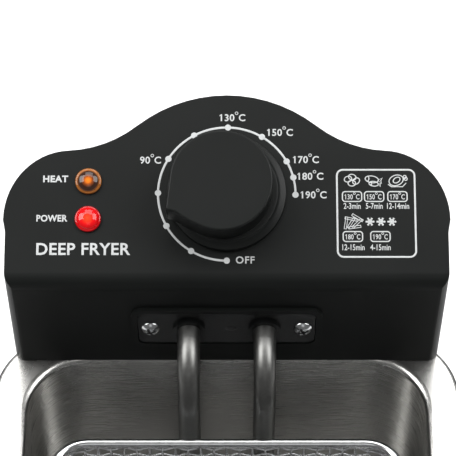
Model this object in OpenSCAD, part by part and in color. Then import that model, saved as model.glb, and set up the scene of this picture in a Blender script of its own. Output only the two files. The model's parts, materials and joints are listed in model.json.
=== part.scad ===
// Small countertop deep fryer: steel casing, lift-out oil tank, wire basket with a folding handle,
// and a lift-off control head that carries the thermostat and the immersion heating element.
// Frame: origin under the middle of the whole fryer, on the surface it stands on.
// +Z is up, +Y points to the back, where the control head is, and -Y to the basket handle.

/* [Casing] */
// Width of the steel casing
case_w = 190; // [180:1:230]
// Depth of the steel casing, front to back
case_d = 208; // [190:1:250]
// Height of the steel casing wrap
case_h = 136; // [122:1:170]
// Corner radius of the casing in plan
case_r = 30; // [22:1:40]
// Sheet thickness of the casing
case_wall = 1.2; // [0.8:0.1:2]
// Width of the rim between the casing's outside and the tank
rim_w = 14; // [13:0.5:20]

/* [Base] */
// Height of the rubber feet
foot_h = 6; // [4:0.5:10]
// Diameter of a rubber foot
foot_d = 18; // [12:0.5:24]
// Height of the visible plastic base edge
base_edge_h = 6; // [4:0.5:10]
// Height of the step that the casing slips over
base_step_h = 10; // [6:0.5:16]
// Wall and floor thickness of the base tray
base_wall = 3; // [2:0.5:4]

/* [Tank] */
// Depth of the oil tank below its flange
tank_depth = 112; // [100:1:120]
// Sheet thickness of the tank
tank_wall = 1.2; // [0.8:0.1:2]
// Corner radius of the tank in plan
tank_r = 24; // [16:1:30]

/* [Control head] */
// Width of the head over its shoulders
head_w = 176; // [166:1:190]
// How far each shoulder stands out beyond the side wall below it
shoulder_lip = 0.9; // [0.4:0.1:2]
// Height of the front wall, up to where the sloping panel would meet it
wall_h = 55.5; // [50:0.5:62]
// Slope of the control panel from the horizontal
panel_slope = 22; // [18:0.5:30]
// Radius of the bend between the front wall and the panel
bend_r = 7.6; // [4:0.2:10]
// Depth of the head from its front wall to the back of the hump
head_d = 71.7; // [68:0.1:80]
// Plan radius of the hump behind the dial
hump_r = 60.1; // [56:0.1:66]
// Plan radius of the shoulders
shoulder_r = 26.2; // [22:0.1:28]
// Distance from the front wall to the widest line of the shoulders
shoulder_y = 24.3; // [22:0.1:28]
// Plan radius of the hollow between hump and shoulder
saddle_r = 48.5; // [38:0.5:60]
// Wall thickness of the head's mouldings
head_wall = 2.5; // [2:0.1:3]
// How far the rear leg of the head reaches down behind the casing
leg_h = 70; // [60:1:80]

/* [Dial and lamps] */
// Distance of the dial axis from the panel's front edge, along the slope
dial_v = 36.8; // [34:0.2:40]
// Radius of the knob's skirt
skirt_r = 23.5; // [20:0.5:25]
// Height of the knob's skirt above the panel
skirt_h = 5; // [3:0.5:7]
// Radius of the knob's raised grip
grip_r = 20; // [16:0.1:21]
// Height of the knob above the panel
knob_h = 19; // [15:0.5:24]
// Diameter of the thermostat shaft
shaft_d = 6; // [5:0.5:8]
// Diameter of a pilot lamp lens
lamp_d = 10.4; // [8:0.2:12]

/* [Heating element] */
// Diameter of the element tube
tube_d = 9; // [6.5:0.5:10]
// Spacing of the two legs where they leave the head
leg_spacing = 30.4; // [28:0.2:34]
// Height of the legs above the head's seat
leg_z = 26; // [24:0.5:28]
// Width of the plate that carries the legs
plate_w = 71; // [68:0.5:76]
// Height of that plate
plate_h = 21.6; // [18:0.2:23]
// Distance between the plate's two screws
plate_screw_spacing = 61.2; // [58:0.2:64]

/* [Basket] */
// Clearance between the basket and the tank's sides and front
basket_gap = 8; // [6:0.5:14]
// Depth of the basket below its rim wire
basket_h = 82; // [60:1:86]
// Diameter of the basket's rim wire and of its handle wires
rim_wire_d = 4; // [3:0.5:5]
// Length of the basket handle from its pivot to the end of the grip
handle_len = 140; // [120:1:160]
// Length of the handle's plastic grip
grip_len = 84; // [70:1:95]

/* [Hidden] */
$fn = 48;
arc_step = 6;              // degrees between the points of an outline's arcs
lift_gap = 0.3;            // between parts that lift away from each other
run_gap = 0.05;            // radial, for a pin or shaft that turns or slides in its bore
seat_gap = 0.2;            // round a fixed part that drops into a recess
screw_gap = 0.05;          // radial, for a screw in its thread
eps = 0.02;                // overshoot of a cut

// Heights, from the standing surface up.
base_z = foot_h;
case_z = base_z + base_edge_h;
case_top = case_z + case_h;
collar_t = 2;
collar_skirt = 8;
flange_z = case_top + collar_t;
flange_top = flange_z + tank_wall;
tank_floor_z = flange_top - tank_depth;
tank_bottom = tank_floor_z + tank_wall;
head_z = flange_top + lift_gap;

// Tank, inside the rim.
tank_w = case_w - 2 * rim_w;
tank_d = case_d - 2 * rim_w;
flange_inset = 1;

// Reach of the head behind the casing and of the basket handle in front of it. They set where the
// casing stands, so that the whole fryer is centred on the origin.
gland_out = 5;
head_reach = head_d - rim_w + gland_out;
pivot_forward = 4;                            // of the basket handle's pivot, from the basket's front
pivot_in = rim_w + tank_wall + basket_gap - pivot_forward;
handle_reach = handle_len - pivot_in;
case_y = (handle_reach - head_reach) / 2;
case_front = case_y - case_d / 2;
case_back = case_y + case_d / 2;
head_y = case_back - rim_w;                   // front wall of the head, flush with the tank's rear wall

// Screws.
screw_head_d = 7.8;
screw_d = 4;
small_screw_d = 3;
small_head_d = 5.6;

// Side handles of the casing.
side_handle_l = 92;
side_handle_out = 24;
side_handle_h = 16;
side_handle_z = case_z + case_h * 0.72;
side_handle_bar = 9;
side_handle_post = 15;
side_handle_r = 8;
handle_screw_l = 9;

// Head: rear leg, deck and guide.
leg_gap = 2;
leg_front = rim_w + leg_gap;
front_corner_r = 4.5;
guide_x = 30;
guide_w = 3;
guide_out = 6;
guide_h = 42;
guide_z = 18;
guide_t = 1;
guide_gap = 0.8;
rivet_d = 2.6;
deck_boss_x = [-72, -22, 22, 72];
deck_boss_d = 7;
deck_boss_y = head_wall + deck_boss_d / 2 - 0.6;
deck_boss_top = 12;

// Head: plate, element and their fasteners.
plate_t = 4.7;
plate_recess = -1.2;                         // of its face behind the wall's; it stands a little out
plate_r = 3.2;
frame_w = 2.6;
frame_out = 1.6;
frame_r = 5;
pocket_wall = 1.5;
collar_d = 13;
elbow_r = 18;
leg_run = 8;                                  // straight stretch in front of the plate
leg_in = 14;                                  // of the element behind the front wall's face
leg_y = -(leg_run + elbow_r);
floor_elbow_r = 14;
element_lift = 15;                            // of the tube's axis above the tank's floor
run_z = tank_bottom + element_lift - head_z;
loop_w = 36;                                  // between the inner and outer runs
loop_r = 12;
front_r = 16;
outer_x = leg_spacing / 2 + loop_w;
first_run = 30;
back_bar_y = leg_y - first_run - 2 * tube_d;
last_r = leg_spacing / 2 - 0.5;
front_run_y = -(tank_d - 2 * tank_wall - basket_gap - tube_d);
spacer_t = 1.2;
spacer_y = [back_bar_y - last_r - 5, front_run_y + front_r + 8];
spacer_foot = 0.6;                            // gap between the spacers' feet and the tank's floor

// Head: lamps, thermostat and safety parts.
lamp_x = -54.6;
lamp_v = [41.6, 26.4];
lamp_shank = 2;
lamp_tail = 1.5;
boss_h = 3;
bracket_t = 1.4;
bracket_x = 21;
stat_neck = 3.5;
stat_h = 19;
bulb_d = 6;
bulb_h = 15;
capillary_d = 2;
pin_d = 5;
pin_flange_d = 7.4;
pin_travel = 2;
pin_z = -9;
reset_z = -14;
reset_d = 8;
reset_stem_d = 4;
bushing_d = 11;
gland_z = -46;
gland_bore = 7.2;
gland_body = 11;
gland_flange = 17;
wire_d = 2.4;
block_x = 36;
block_z = -40;
block_size = [34, 14, 16];

// Knob. The pointer looks along local +X, and the round grip stands a little off the axis.
pointer_at = 210;
grip_off = [1.5, -1.6];
nose_tip = [25.5, -1.6];
knob_lift = 0.6;
hub_d = shaft_d + 5;
knob_top_t = 2.2;
clip_t = 0.75;

// Basket.
basket_w = tank_w - 2 * tank_wall - 2 * basket_gap;
basket_front = case_front + rim_w + tank_wall + basket_gap;
basket_back = head_y + leg_y - tube_d / 2 - 5;
basket_d = basket_back - basket_front;
basket_y = (basket_front + basket_back) / 2;
basket_r = tank_r - basket_gap;
basket_wall = 1.6;
mesh_inset = 1.6;                             // of the mesh from the outside of the rim wire
basket_top = flange_top - 3;
basket_z = basket_top - basket_h;
pivot_y = basket_front - pivot_forward;
pivot_z = flange_top + 13;
ear_t = 1.6;
ear_r = 5;
arm_x = 11;                                   // of the handle wires' axes
arm_bend = 2.6;
ear_x = arm_x + rim_wire_d / 2 + 1.2;         // inner face of an ear
bracket_drop = 34;
bracket_rivet_d = 3;
grip_w = 30;
grip_h = 19;
grip_r_edge = 7;
grip_socket = 14;

// ---------- shared shapes ----------

// Rectangle w by d with true round corners.
module rounded_rect(w, d, r) {
    square([w - 2 * r, d], center = true);
    square([w, d - 2 * r], center = true);
    for (x = [-1, 1], y = [-1, 1])
        translate([x * (w / 2 - r), y * (d / 2 - r)]) circle(r);
}

// Upright prism of a rounded rectangle, centred on the casing.
module case_prism(w, d, r, z, h) {
    translate([0, case_y, z]) linear_extrude(h) rounded_rect(w, d, r);
}

module rounded_ring(w, d, r, t, z, h) {
    difference() {
        case_prism(w, d, r, z, h);
        case_prism(w - 2 * t, d - 2 * t, r - t, z - eps, h + 2 * eps);
    }
}

// Cylinder from point a to point b.
module rod(a, b, d) {
    v = b - a;
    len = norm(v);
    translate(a) rotate([0, acos(v[2] / len), atan2(v[1], v[0])]) cylinder(d = d, h = len);
}

// Quarter torus at corner p, from direction u to direction w, which are unit axes at a right angle.
module elbow(p, u, w, r, d) {
    c = p - u * r + w * r;
    n = cross(-w, u);
    multmatrix([[-w[0], u[0], n[0], c[0]], [-w[1], u[1], n[1], c[1]], [-w[2], u[2], n[2], c[2]]])
        rotate_extrude(angle = 90) translate([r, 0]) circle(d = d);
}

function unit(v) = v / norm(v);

// Round tube along points whose neighbouring stretches meet at right angles; radii has one bend radius
// for each inner point.
module tube_run(points, radii, d) {
    last = len(points) - 1;
    for (i = [0 : last - 1]) {
        u = unit(points[i + 1] - points[i]);
        start = i == 0 ? 0 : radii[i - 1];
        stop = i == last - 1 ? 0 : radii[i];
        if (norm(points[i + 1] - points[i]) - start - stop > 0.05)
            rod(points[i] + u * start, points[i + 1] - u * stop, d);
        if (i < last - 1) elbow(points[i + 1], u, unit(points[i + 2] - points[i + 1]), radii[i], d);
    }
}

// Machine screw with a domed head and a cross slot, head up, seat at z = 0.
module pan_screw(head_d, d, length) {
    head_h = head_d * 0.32;
    dome_r = (pow(head_d / 2, 2) + pow(head_h, 2)) / (2 * head_h);
    translate([0, 0, -length]) cylinder(d = d, h = length + 0.2);
    difference() {
        intersection() {
            translate([0, 0, head_h - dome_r]) sphere(dome_r);
            cylinder(d = head_d, h = head_h + 1);
        }
        for (a = [0, 90])
            rotate(a) translate([-head_d * 0.3, -head_d * 0.07, head_h * 0.4])
                cube([head_d * 0.6, head_d * 0.14, head_h]);
    }
}

// ---------- the head's outline and profile ----------

function arc(c, r, a0, a1) =
    let (n = max(2, ceil(abs(a1 - a0) / arc_step)))
    [for (i = [0 : n]) c + r * [cos(a0 + (a1 - a0) * i / n), sin(a0 + (a1 - a0) * i / n)]];

// Plan outline of the right half, from the front wall round the shoulder to the top of the hump, drawn
// t inside the outer skin. The saddle's centre follows from touching the hump and shoulder circles.
hump_c = [0, head_d - hump_r];
shoulder_c = [head_w / 2 - shoulder_r, shoulder_y];
span = norm(shoulder_c - hump_c);
hump_side = hump_r + saddle_r;
shoulder_side = shoulder_r + saddle_r;
along = (pow(hump_side, 2) - pow(shoulder_side, 2) + pow(span, 2)) / (2 * span);
aside = sqrt(pow(hump_side, 2) - pow(along, 2));
span_dir = (shoulder_c - hump_c) / span;
saddle_c = hump_c + along * span_dir + aside * [-span_dir[1], span_dir[0]];
hump_end = atan2(saddle_c[1] - hump_c[1], saddle_c[0] - hump_c[0]);
shoulder_end = atan2(saddle_c[1] - shoulder_c[1], saddle_c[0] - shoulder_c[0]);
function half_outline(t) =
    let (side = head_w / 2 - shoulder_lip - t, r = front_corner_r - t)
    concat(
        arc([side - r, t + r], r, -90, 0),
        [[side, shoulder_y - 4]],
        arc(shoulder_c, shoulder_r - t, 0, shoulder_end),
        arc(saddle_c, saddle_r + t, shoulder_end + 180, hump_end + 180),
        arc(hump_c, hump_r - t, hump_end, 90));

function mirrored(points) = [for (i = [len(points) - 1 : -1 : 0]) [-points[i][0], points[i][1]]];

module head_outline(t) {
    half = half_outline(t);
    polygon(concat(half, mirrored(half)));
}

// Side profile (y, z) of everything under the panel, t inside the outer skin, down to z = low.
function profile(t, low) =
    let (turn = 90 - panel_slope,
         r = bend_r - t,
         corner = [t, wall_h + t * tan(panel_slope) - t / cos(panel_slope)],
         tangent = r * tan(turn / 2),
         c = corner + [r, -tangent],
         far = 2 * head_d)
    concat([[t, low]], arc(c, r, 180, 180 - turn),
           [[far, wall_h + far * tan(panel_slope) - t / cos(panel_slope)], [far, low]]);

// Upright prism of the head's outline, cut off under the sloping panel.
module head_solid(t, low) {
    intersection() {
        translate([0, 0, low]) linear_extrude(wall_h + head_d) head_outline(t);
        rotate([90, 0, 90]) translate([0, 0, -head_w]) linear_extrude(2 * head_w) polygon(profile(t, low));
    }
}

module in_head() { translate([0, head_y, head_z]) children(); }

// Local frame of the sloping panel: x across, y up the slope from its front edge, z out of the panel.
module on_panel() { in_head() translate([0, 0, wall_h]) rotate([panel_slope, 0, 0]) children(); }

// Local frame of the front wall: x across, y up, z out of the wall towards the front.
module on_wall() { in_head() rotate([90, 0, 0]) children(); }

// Local frame of the rear of the hump: x across, y up, z out of the back.
module on_back() { in_head() translate([0, head_d, 0]) rotate([90, 0, 180]) children(); }

// ---------- casing ----------

module base_tray() {
    step_in = case_wall + seat_gap;
    inner = step_in + base_wall;
    color("#1b1b1c") difference() {
        union() {
            case_prism(case_w, case_d, case_r, base_z, base_edge_h);
            case_prism(case_w - 2 * step_in, case_d - 2 * step_in, case_r - step_in, case_z - eps,
                       base_step_h + eps);
        }
        case_prism(case_w - 2 * inner, case_d - 2 * inner, case_r - inner, base_z + base_wall,
                   base_edge_h + base_step_h);
        at_feet() translate([0, 0, base_z - eps])
            cylinder(d = screw_d + 2 * screw_gap, h = base_wall + 2 * eps);
    }
}

module at_feet() {
    for (x = [-1, 1], y = [-1, 1])
        translate([x * (case_w / 2 - case_r * 0.8), case_y + y * (case_d / 2 - case_r * 0.8), 0]) children();
}

module rubber_feet() {
    seat = foot_h / 2;
    color("#262626") at_feet() difference() {
        cylinder(d1 = foot_d - 2, d2 = foot_d, h = foot_h);
        translate([0, 0, seat]) cylinder(d = screw_d + 2 * screw_gap, h = foot_h - seat + eps);
        translate([0, 0, -eps]) cylinder(d = screw_head_d + 1, h = seat + eps);
    }
}

module base_screws() {
    color("#b9bcc0") at_feet() translate([0, 0, foot_h / 2]) rotate([180, 0, 0])
        pan_screw(screw_head_d, screw_d, foot_h / 2 + base_wall + 2);
}

module outer_casing() {
    color("#c9ccd0") difference() {
        rounded_ring(case_w, case_d, case_r, case_wall, case_z, case_h);
        at_handle_screws() rotate([0, 90, 0])
            cylinder(d = screw_d + 2 * screw_gap, h = 4 * case_wall, center = true);
    }
}

module casing_collar() {
    step_in = case_wall + seat_gap;
    inner = step_in + 2;
    color("#1b1b1c") difference() {
        union() {
            case_prism(case_w, case_d, case_r, case_top, collar_t);
            case_prism(case_w - 2 * step_in, case_d - 2 * step_in, case_r - step_in,
                       case_top - collar_skirt, collar_skirt + eps);
        }
        case_prism(tank_w + 1, tank_d + 1, tank_r + 0.5, case_top - collar_skirt - 1,
                   collar_skirt + collar_t + 2);
        case_prism(case_w - 2 * inner, case_d - 2 * inner, case_r - inner, case_top - collar_skirt - 1,
                   collar_skirt + 1);
    }
}

module at_handle_screws() {
    for (side = [-1, 1], y = [-1, 1])
        translate([side * case_w / 2, case_y + y * (side_handle_l - side_handle_post) / 2,
                   side_handle_z]) children();
}

// Bow handle on one side: a bar on two posts, with room for the fingers behind the bar.
module side_handle(side) {
    color("#1b1b1c") translate([side * case_w / 2, case_y, side_handle_z - side_handle_h / 2])
        mirror([side < 0 ? 1 : 0, 0, 0]) difference() {
            linear_extrude(side_handle_h) difference() {
                union() {
                    translate([0, -side_handle_l / 2])
                        square([side_handle_out - side_handle_r, side_handle_l]);
                    translate([0, -side_handle_l / 2 + side_handle_r])
                        square([side_handle_out, side_handle_l - 2 * side_handle_r]);
                    for (y = [-1, 1])
                        translate([side_handle_out - side_handle_r, y * (side_handle_l / 2 - side_handle_r)])
                            circle(side_handle_r);
                }
                translate([-eps, -side_handle_l / 2 + side_handle_post])
                    square([side_handle_out - side_handle_bar + eps, side_handle_l - 2 * side_handle_post]);
            }
            for (y = [-1, 1])
                translate([-eps, y * (side_handle_l - side_handle_post) / 2, side_handle_h / 2])
                    rotate([0, 90, 0]) cylinder(d = screw_d + 2 * screw_gap, h = handle_screw_l + 1);
        }
}
module left_handle() { side_handle(-1); }
module right_handle() { side_handle(1); }

module handle_screws() {
    color("#b9bcc0") for (side = [-1, 1], y = [-1, 1])
        translate([side * (case_w / 2 - case_wall), case_y + y * (side_handle_l - side_handle_post) / 2,
                   side_handle_z])
            rotate([0, -90 * side, 0]) pan_screw(screw_head_d, screw_d, handle_screw_l);
}

// Two rails on the casing's back that the head's leg slides down over.
module head_guide() {
    color("#b9bcc0") in_head() difference() {
        union() {
            for (x = [-1, 1])
                translate([x * guide_x - guide_w / 2, rim_w, -guide_z - guide_h])
                    cube([guide_w, guide_out, guide_h]);
            translate([-guide_x - 8, rim_w, -guide_z - guide_h]) cube([2 * guide_x + 16, guide_t, guide_h]);
        }
        at_guide_rivets() translate([0, 0, -eps]) cylinder(d = rivet_d, h = guide_t + 2 * eps);
    }
}

module at_guide_rivets() {
    for (x = [-1, 1], z = [0.2, 0.8])
        translate([x * (guide_x + 5), rim_w, -guide_z - guide_h * z]) rotate([-90, 0, 0]) children();
}

module guide_rivets() {
    color("#b9bcc0") in_head() at_guide_rivets() union() {
        cylinder(d = rivet_d, h = guide_t);
        translate([0, 0, guide_t]) cylinder(d = rivet_d * 1.6, h = 0.5);
    }
}

// ---------- tank ----------

module oil_tank() {
    color("#c9ccd0") difference() {
        union() {
            case_prism(case_w - 2 * flange_inset, case_d - 2 * flange_inset, case_r - flange_inset, flange_z,
                       tank_wall);
            case_prism(tank_w, tank_d, tank_r, tank_floor_z, flange_z - tank_floor_z + eps);
        }
        case_prism(tank_w - 2 * tank_wall, tank_d - 2 * tank_wall, tank_r - tank_wall, tank_bottom,
                   tank_depth);
    }
}

// ---------- control head ----------

module at_lamps() { for (v = lamp_v) translate([lamp_x, v, 0]) children(); }

module plate_outline(w, h, r) { translate([0, leg_z]) rounded_rect(w, h, r); }

module head_cover() {
    pocket = plate_recess + plate_t;
    color("#262827") difference() {
        union() {
            in_head() difference() {
                head_solid(0, 0);
                head_solid(head_wall, -eps);
            }
            in_head() at_deck_bosses() translate([0, 0, head_wall + seat_gap])
                cylinder(d = deck_boss_d, h = deck_boss_top - head_wall - seat_gap);
            on_wall() linear_extrude(frame_out)
                plate_outline(plate_w + 2 * frame_w, plate_h + 2 * frame_w, frame_r);
            on_wall() translate([0, 0, -pocket - pocket_wall]) linear_extrude(pocket + pocket_wall + eps)
                plate_outline(plate_w + 5, plate_h + 5, frame_r);
            on_panel() at_bracket_screws() translate([0, 0, -head_wall - boss_h])
                cylinder(d = 8, h = boss_h + eps);
        }
        on_wall() translate([0, 0, -pocket]) linear_extrude(pocket + frame_out + eps)
            plate_outline(plate_w + 2 * seat_gap, plate_h + 2 * seat_gap, plate_r + seat_gap);
        on_wall() translate([0, 0, -pocket - 2 * pocket_wall]) linear_extrude(3 * pocket_wall)
            plate_outline(leg_spacing + collar_d + 3, plate_h - 5, 3);
        on_wall() at_plate_screws() translate([0, 0, -pocket - 2 * pocket_wall])
            cylinder(d = screw_d + 2 * screw_gap, h = 3 * pocket_wall);
        on_panel() translate([0, dial_v, -2 * head_wall]) cylinder(d = shaft_d + 3, h = 3 * head_wall);
        on_panel() at_lamps() translate([0, 0, -2 * head_wall])
            cylinder(d = lamp_d - lamp_shank + seat_gap, h = 3 * head_wall);
        on_panel() at_bracket_screws() translate([0, 0, -head_wall - boss_h - eps])
            cylinder(d = small_screw_d + 2 * screw_gap, h = boss_h);
        in_head() at_deck_bosses()
            cylinder(d = small_screw_d + 2 * screw_gap, h = deck_boss_top - 2);
    }
}

module at_plate_screws() {
    for (x = [-1, 1]) translate([x * plate_screw_spacing / 2, leg_z, 0]) children();
}

module at_bracket_screws() {
    for (x = [-1, 1]) translate([x * bracket_x, dial_v, 0]) children();
}

module at_deck_bosses() {
    for (x = deck_boss_x) translate([x, deck_boss_y, 0]) children();
}

// The leg behind the casing, with the deck that closes the cover from below.
module head_housing() {
    color("#1f2120") in_head() difference() {
        union() {
            difference() {
                leg_block(0, leg_front, -leg_h, leg_h);
                leg_block(head_wall, leg_front + head_wall, head_wall - leg_h, leg_h);
            }
            difference() {
                linear_extrude(head_wall) head_outline(head_wall + seat_gap);
                leg_block(2 * head_wall, leg_front + head_wall, -eps, head_wall + 1);
            }
        }
        for (x = [-1, 1])
            translate([x * guide_x - guide_w / 2 - guide_gap, 0, -leg_h - 1])
                cube([guide_w + 2 * guide_gap, rim_w + guide_out + guide_gap, leg_h - guide_z + 3]);
        translate([0, leg_front - 1, pin_z]) rotate([-90, 0, 0])
            cylinder(d = pin_d + 2 * run_gap, h = head_wall + 2);
        translate([0, head_d + 1, reset_z]) rotate([90, 0, 0])
            cylinder(d = bushing_d + 2 * screw_gap, h = 10);
        translate([0, head_d + 1, gland_z]) rotate([90, 0, 0])
            cylinder(d = gland_body + 2 * screw_gap, h = 10);
        at_deck_bosses() {
            translate([0, 0, -eps]) cylinder(d = small_screw_d + 2 * screw_gap, h = head_wall + 1);
            translate([0, 0, -eps]) cylinder(d = small_head_d + 2 * seat_gap, h = 1.6);
        }
    }
}

// The part of the head's outline behind y = front, as an upright block from z = low.
module leg_block(t, front, low, height) {
    intersection() {
        translate([0, 0, low]) linear_extrude(height) head_outline(t);
        translate([-head_w, front, low - 1]) cube([2 * head_w, head_d, height + 2]);
    }
}

module housing_screws() {
    color("#8d9094") in_head() at_deck_bosses() union() {
        translate([0, 0, 0.1]) cylinder(d = small_head_d, h = 1.4);
        translate([0, 0, 1.4]) cylinder(d = small_screw_d, h = deck_boss_top - 5);
    }
}

module element_plate() {
    color("#1d1f1f") on_wall() translate([0, 0, -plate_recess - plate_t]) difference() {
        linear_extrude(plate_t) plate_outline(plate_w, plate_h, plate_r);
        at_legs() translate([0, 0, -eps]) cylinder(d = tube_d + 2 * screw_gap, h = 2 * plate_t);
        at_plate_screws() translate([0, 0, -eps]) cylinder(d = screw_d + 2 * screw_gap, h = 2 * plate_t);
    }
}

module at_legs() {
    for (x = [-1, 1]) translate([x * leg_spacing / 2, leg_z, 0]) children();
}

module plate_screws() {
    color("#c9ccd0") on_wall() translate([0, 0, -plate_recess]) at_plate_screws() rotate(25)
        pan_screw(screw_head_d, screw_d, plate_t + 5);
}

module element_collars() {
    color("#2b2c2c") on_wall() translate([0, 0, -plate_recess]) at_legs() difference() {
        cylinder(d = collar_d, h = 1.4);
        translate([0, 0, -eps]) cylinder(d = tube_d + 2 * screw_gap, h = 2);
    }
}

// Route of one half of the element: out of the head, down into the tank, forward along its floor,
// round the outer loop and back along the inner one to the middle.
function element_route(side) = let (x = side * leg_spacing / 2, ox = side * outer_x) [
    [x, leg_in, leg_z], [x, leg_y, leg_z], [x, leg_y, run_z], [x, leg_y - first_run, run_z],
    [ox, leg_y - first_run, run_z], [ox, front_run_y, run_z], [x, front_run_y, run_z],
    [x, back_bar_y, run_z], [0, back_bar_y, run_z]];

module heating_element() {
    color("#8e9091") in_head() for (side = [-1, 1])
        tube_run(element_route(side),
                 [elbow_r, floor_elbow_r, loop_r, loop_r, front_r, front_r, last_r], tube_d);
}

module element_terminals() {
    color("#c2b280") on_wall() at_legs() rotate([180, 0, 0]) union() {
        translate([0, 0, leg_in]) cylinder(d = tube_d - 2, h = 3);
        translate([0, 0, leg_in + 3 - eps]) cylinder(d = 3, h = 7);
    }
}

// Two combs that hold the element's runs apart, stand on the tank's floor and carry the basket.
module element_guard() {
    foot = element_lift - spacer_foot;
    top = basket_z - lift_gap - head_z - run_z;
    color("#a7a9ab") in_head() for (y = spacer_y) translate([0, y, run_z]) rotate([90, 0, 0])
        linear_extrude(spacer_t) difference() {
            union() {
                translate([-outer_x - tube_d, -tube_d]) square([2 * (outer_x + tube_d), tube_d + top]);
                for (x = [-1, 1]) translate([x * (outer_x - 12) - 4, -foot]) square([8, foot]);
            }
            for (x = [-outer_x, -leg_spacing / 2, leg_spacing / 2, outer_x]) translate([x, 0])
                circle(d = tube_d + 2 * screw_gap);
            for (x = [-1, 0, 1]) translate([x * (leg_spacing + loop_w) / 2, -1]) rounded_rect(10, 6, 2.9);
        }
}

module thermostat_body() {
    neck_top = -head_wall - boss_h - bracket_t;
    low = neck_top - stat_neck - stat_h;
    color("#d8d3c4") difference() {
        on_panel() translate([0, dial_v, 0]) difference() {
            union() {
                translate([-18, -15, low]) cube([36, 30, stat_h]);
                translate([0, 0, neck_top - stat_neck - eps]) cylinder(d = 22, h = stat_neck + eps);
            }
            translate([0, 0, low + 3]) cylinder(d = shaft_d + 2 * run_gap, h = stat_h + stat_neck);
        }
        in_head() rod(capillary_path[1], capillary_path[2], capillary_d + 2 * screw_gap);
    }
}

module thermostat_bracket() {
    color("#b9bcc0") on_panel() translate([0, 0, -head_wall - boss_h - bracket_t]) difference() {
        translate([-bracket_x - 5, dial_v - 8, 0]) cube([2 * bracket_x + 10, 16, bracket_t]);
        translate([0, dial_v, -eps]) cylinder(d = shaft_d + 3, h = 2 * bracket_t);
        at_bracket_screws() translate([0, 0, -eps])
            cylinder(d = small_screw_d + 2 * screw_gap, h = 2 * bracket_t);
    }
}

module bracket_screws() {
    color("#b9bcc0") on_panel() translate([0, 0, -head_wall - boss_h - bracket_t]) at_bracket_screws()
        rotate([180, 0, 0]) pan_screw(small_head_d, small_screw_d, bracket_t + boss_h - 0.6);
}

// The sensing bulb lies on the back of the element's plate, and its capillary runs up to the thermostat.
bulb_y = plate_recess + plate_t + bulb_d / 2;
bulb_z = leg_z - bulb_h / 2;
capillary_rise = 7;
capillary_path = [[0, bulb_y, bulb_z + bulb_h], [0, bulb_y, bulb_z + bulb_h + capillary_rise],
                  [0, bulb_y + 24, bulb_z + bulb_h + capillary_rise]];

module capillary_tube() {
    color("#b87333") in_head() tube_run(capillary_path, [4], capillary_d);
}

module thermostat_bulb() {
    color("#b87333") in_head() translate([0, bulb_y, bulb_z]) cylinder(d = bulb_d, h = bulb_h);
}

// Saddle over the bulb, with a foot on each side against the plate.
module bulb_clip() {
    r = bulb_d / 2;
    color("#b9bcc0") in_head() translate([0, bulb_y, leg_z - 4]) linear_extrude(8) difference() {
        union() {
            circle(r + 1);
            for (x = [-1, 1]) translate([x * (r + 0.5) - 0.5, -r]) square([1, r]);
            for (x = [-1, 1]) translate([x * (r + 3) - 3, -r]) square([6, 1]);
        }
        circle(r);
        translate([-r, -2 * r]) square([2 * r, 2 * r]);
    }
}

module thermal_cutout() {
    color("#2a2a2c") on_back() translate([0, reset_z, 0]) difference() {
        union() {
            translate([-13, -9, -22]) cube([26, 18, 12]);
            translate([0, 0, -10 - eps]) cylinder(d = bushing_d, h = 11);
        }
        translate([0, 0, -10]) cylinder(d = reset_d + 2 * lift_gap, h = 12);
        translate([0, 0, -18]) cylinder(d = reset_stem_d + 2 * lift_gap, h = 10);
    }
}

module reset_button() {
    color("#b3261e") on_back() translate([0, reset_z, 0]) union() {
        translate([0, 0, -5]) cylinder(d = reset_d, h = 7);
        translate([0, 0, -13]) cylinder(d = reset_stem_d, h = 8 + eps);
    }
}

// Plunger that the casing's rim holds in while the head is seated, and the switch behind it.
module safety_switch() {
    color("#303234") in_head() translate([0, leg_front + head_wall, pin_z]) difference() {
        translate([-14, 0, -6]) cube([28, 16, 11]);
        translate([0, -eps, 0]) rotate([-90, 0, 0])
            cylinder(d = pin_flange_d + 2 * lift_gap, h = pin_travel + 3);
    }
}

module interlock_pin() {
    inner = leg_front + head_wall + pin_travel + lift_gap;
    color("#d8d3c4") in_head() translate([0, 0, pin_z]) rotate([-90, 0, 0]) union() {
        translate([0, 0, rim_w + lift_gap]) cylinder(d = pin_d, h = inner - rim_w - lift_gap + eps);
        translate([0, 0, inner]) cylinder(d = pin_flange_d, h = 1);
    }
}

block_y = leg_front + head_wall;
module terminal_block() {
    color("#e6e4dc") in_head() translate([block_x, block_y, block_z]) difference() {
        cube(block_size);
        for (i = [0 : 2]) translate([6 + 11 * i, block_size[1] / 2, block_size[2] / 2])
            cylinder(d = wire_d + 2 * screw_gap, h = block_size[2]);
    }
}

// Insulated leads from the element's terminals to the terminal block.
module internal_wiring() {
    y0 = leg_in + 10;
    wire_y = block_y + block_size[1] / 2;
    wire_z = block_z + block_size[2] / 2;
    x = leg_spacing / 2;
    color("#c8452c") in_head() {
        tube_run([[x, y0, leg_z], [x, y0 + 9, leg_z], [block_x + 6, y0 + 9, leg_z], [block_x + 6, y0 + 9, 12],
                  [block_x + 6, wire_y, 12], [block_x + 6, wire_y, wire_z]], [3, 4, 3.5, 3.5], wire_d);
        tube_run([[-x, y0, leg_z], [-x, y0 + 14, leg_z], [-x, y0 + 14, 8], [block_x + 17, y0 + 14, 8],
                  [block_x + 17, wire_y, 8], [block_x + 17, wire_y, wire_z]], [3, 4, 4, 4, 4], wire_d);
    }
}

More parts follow.
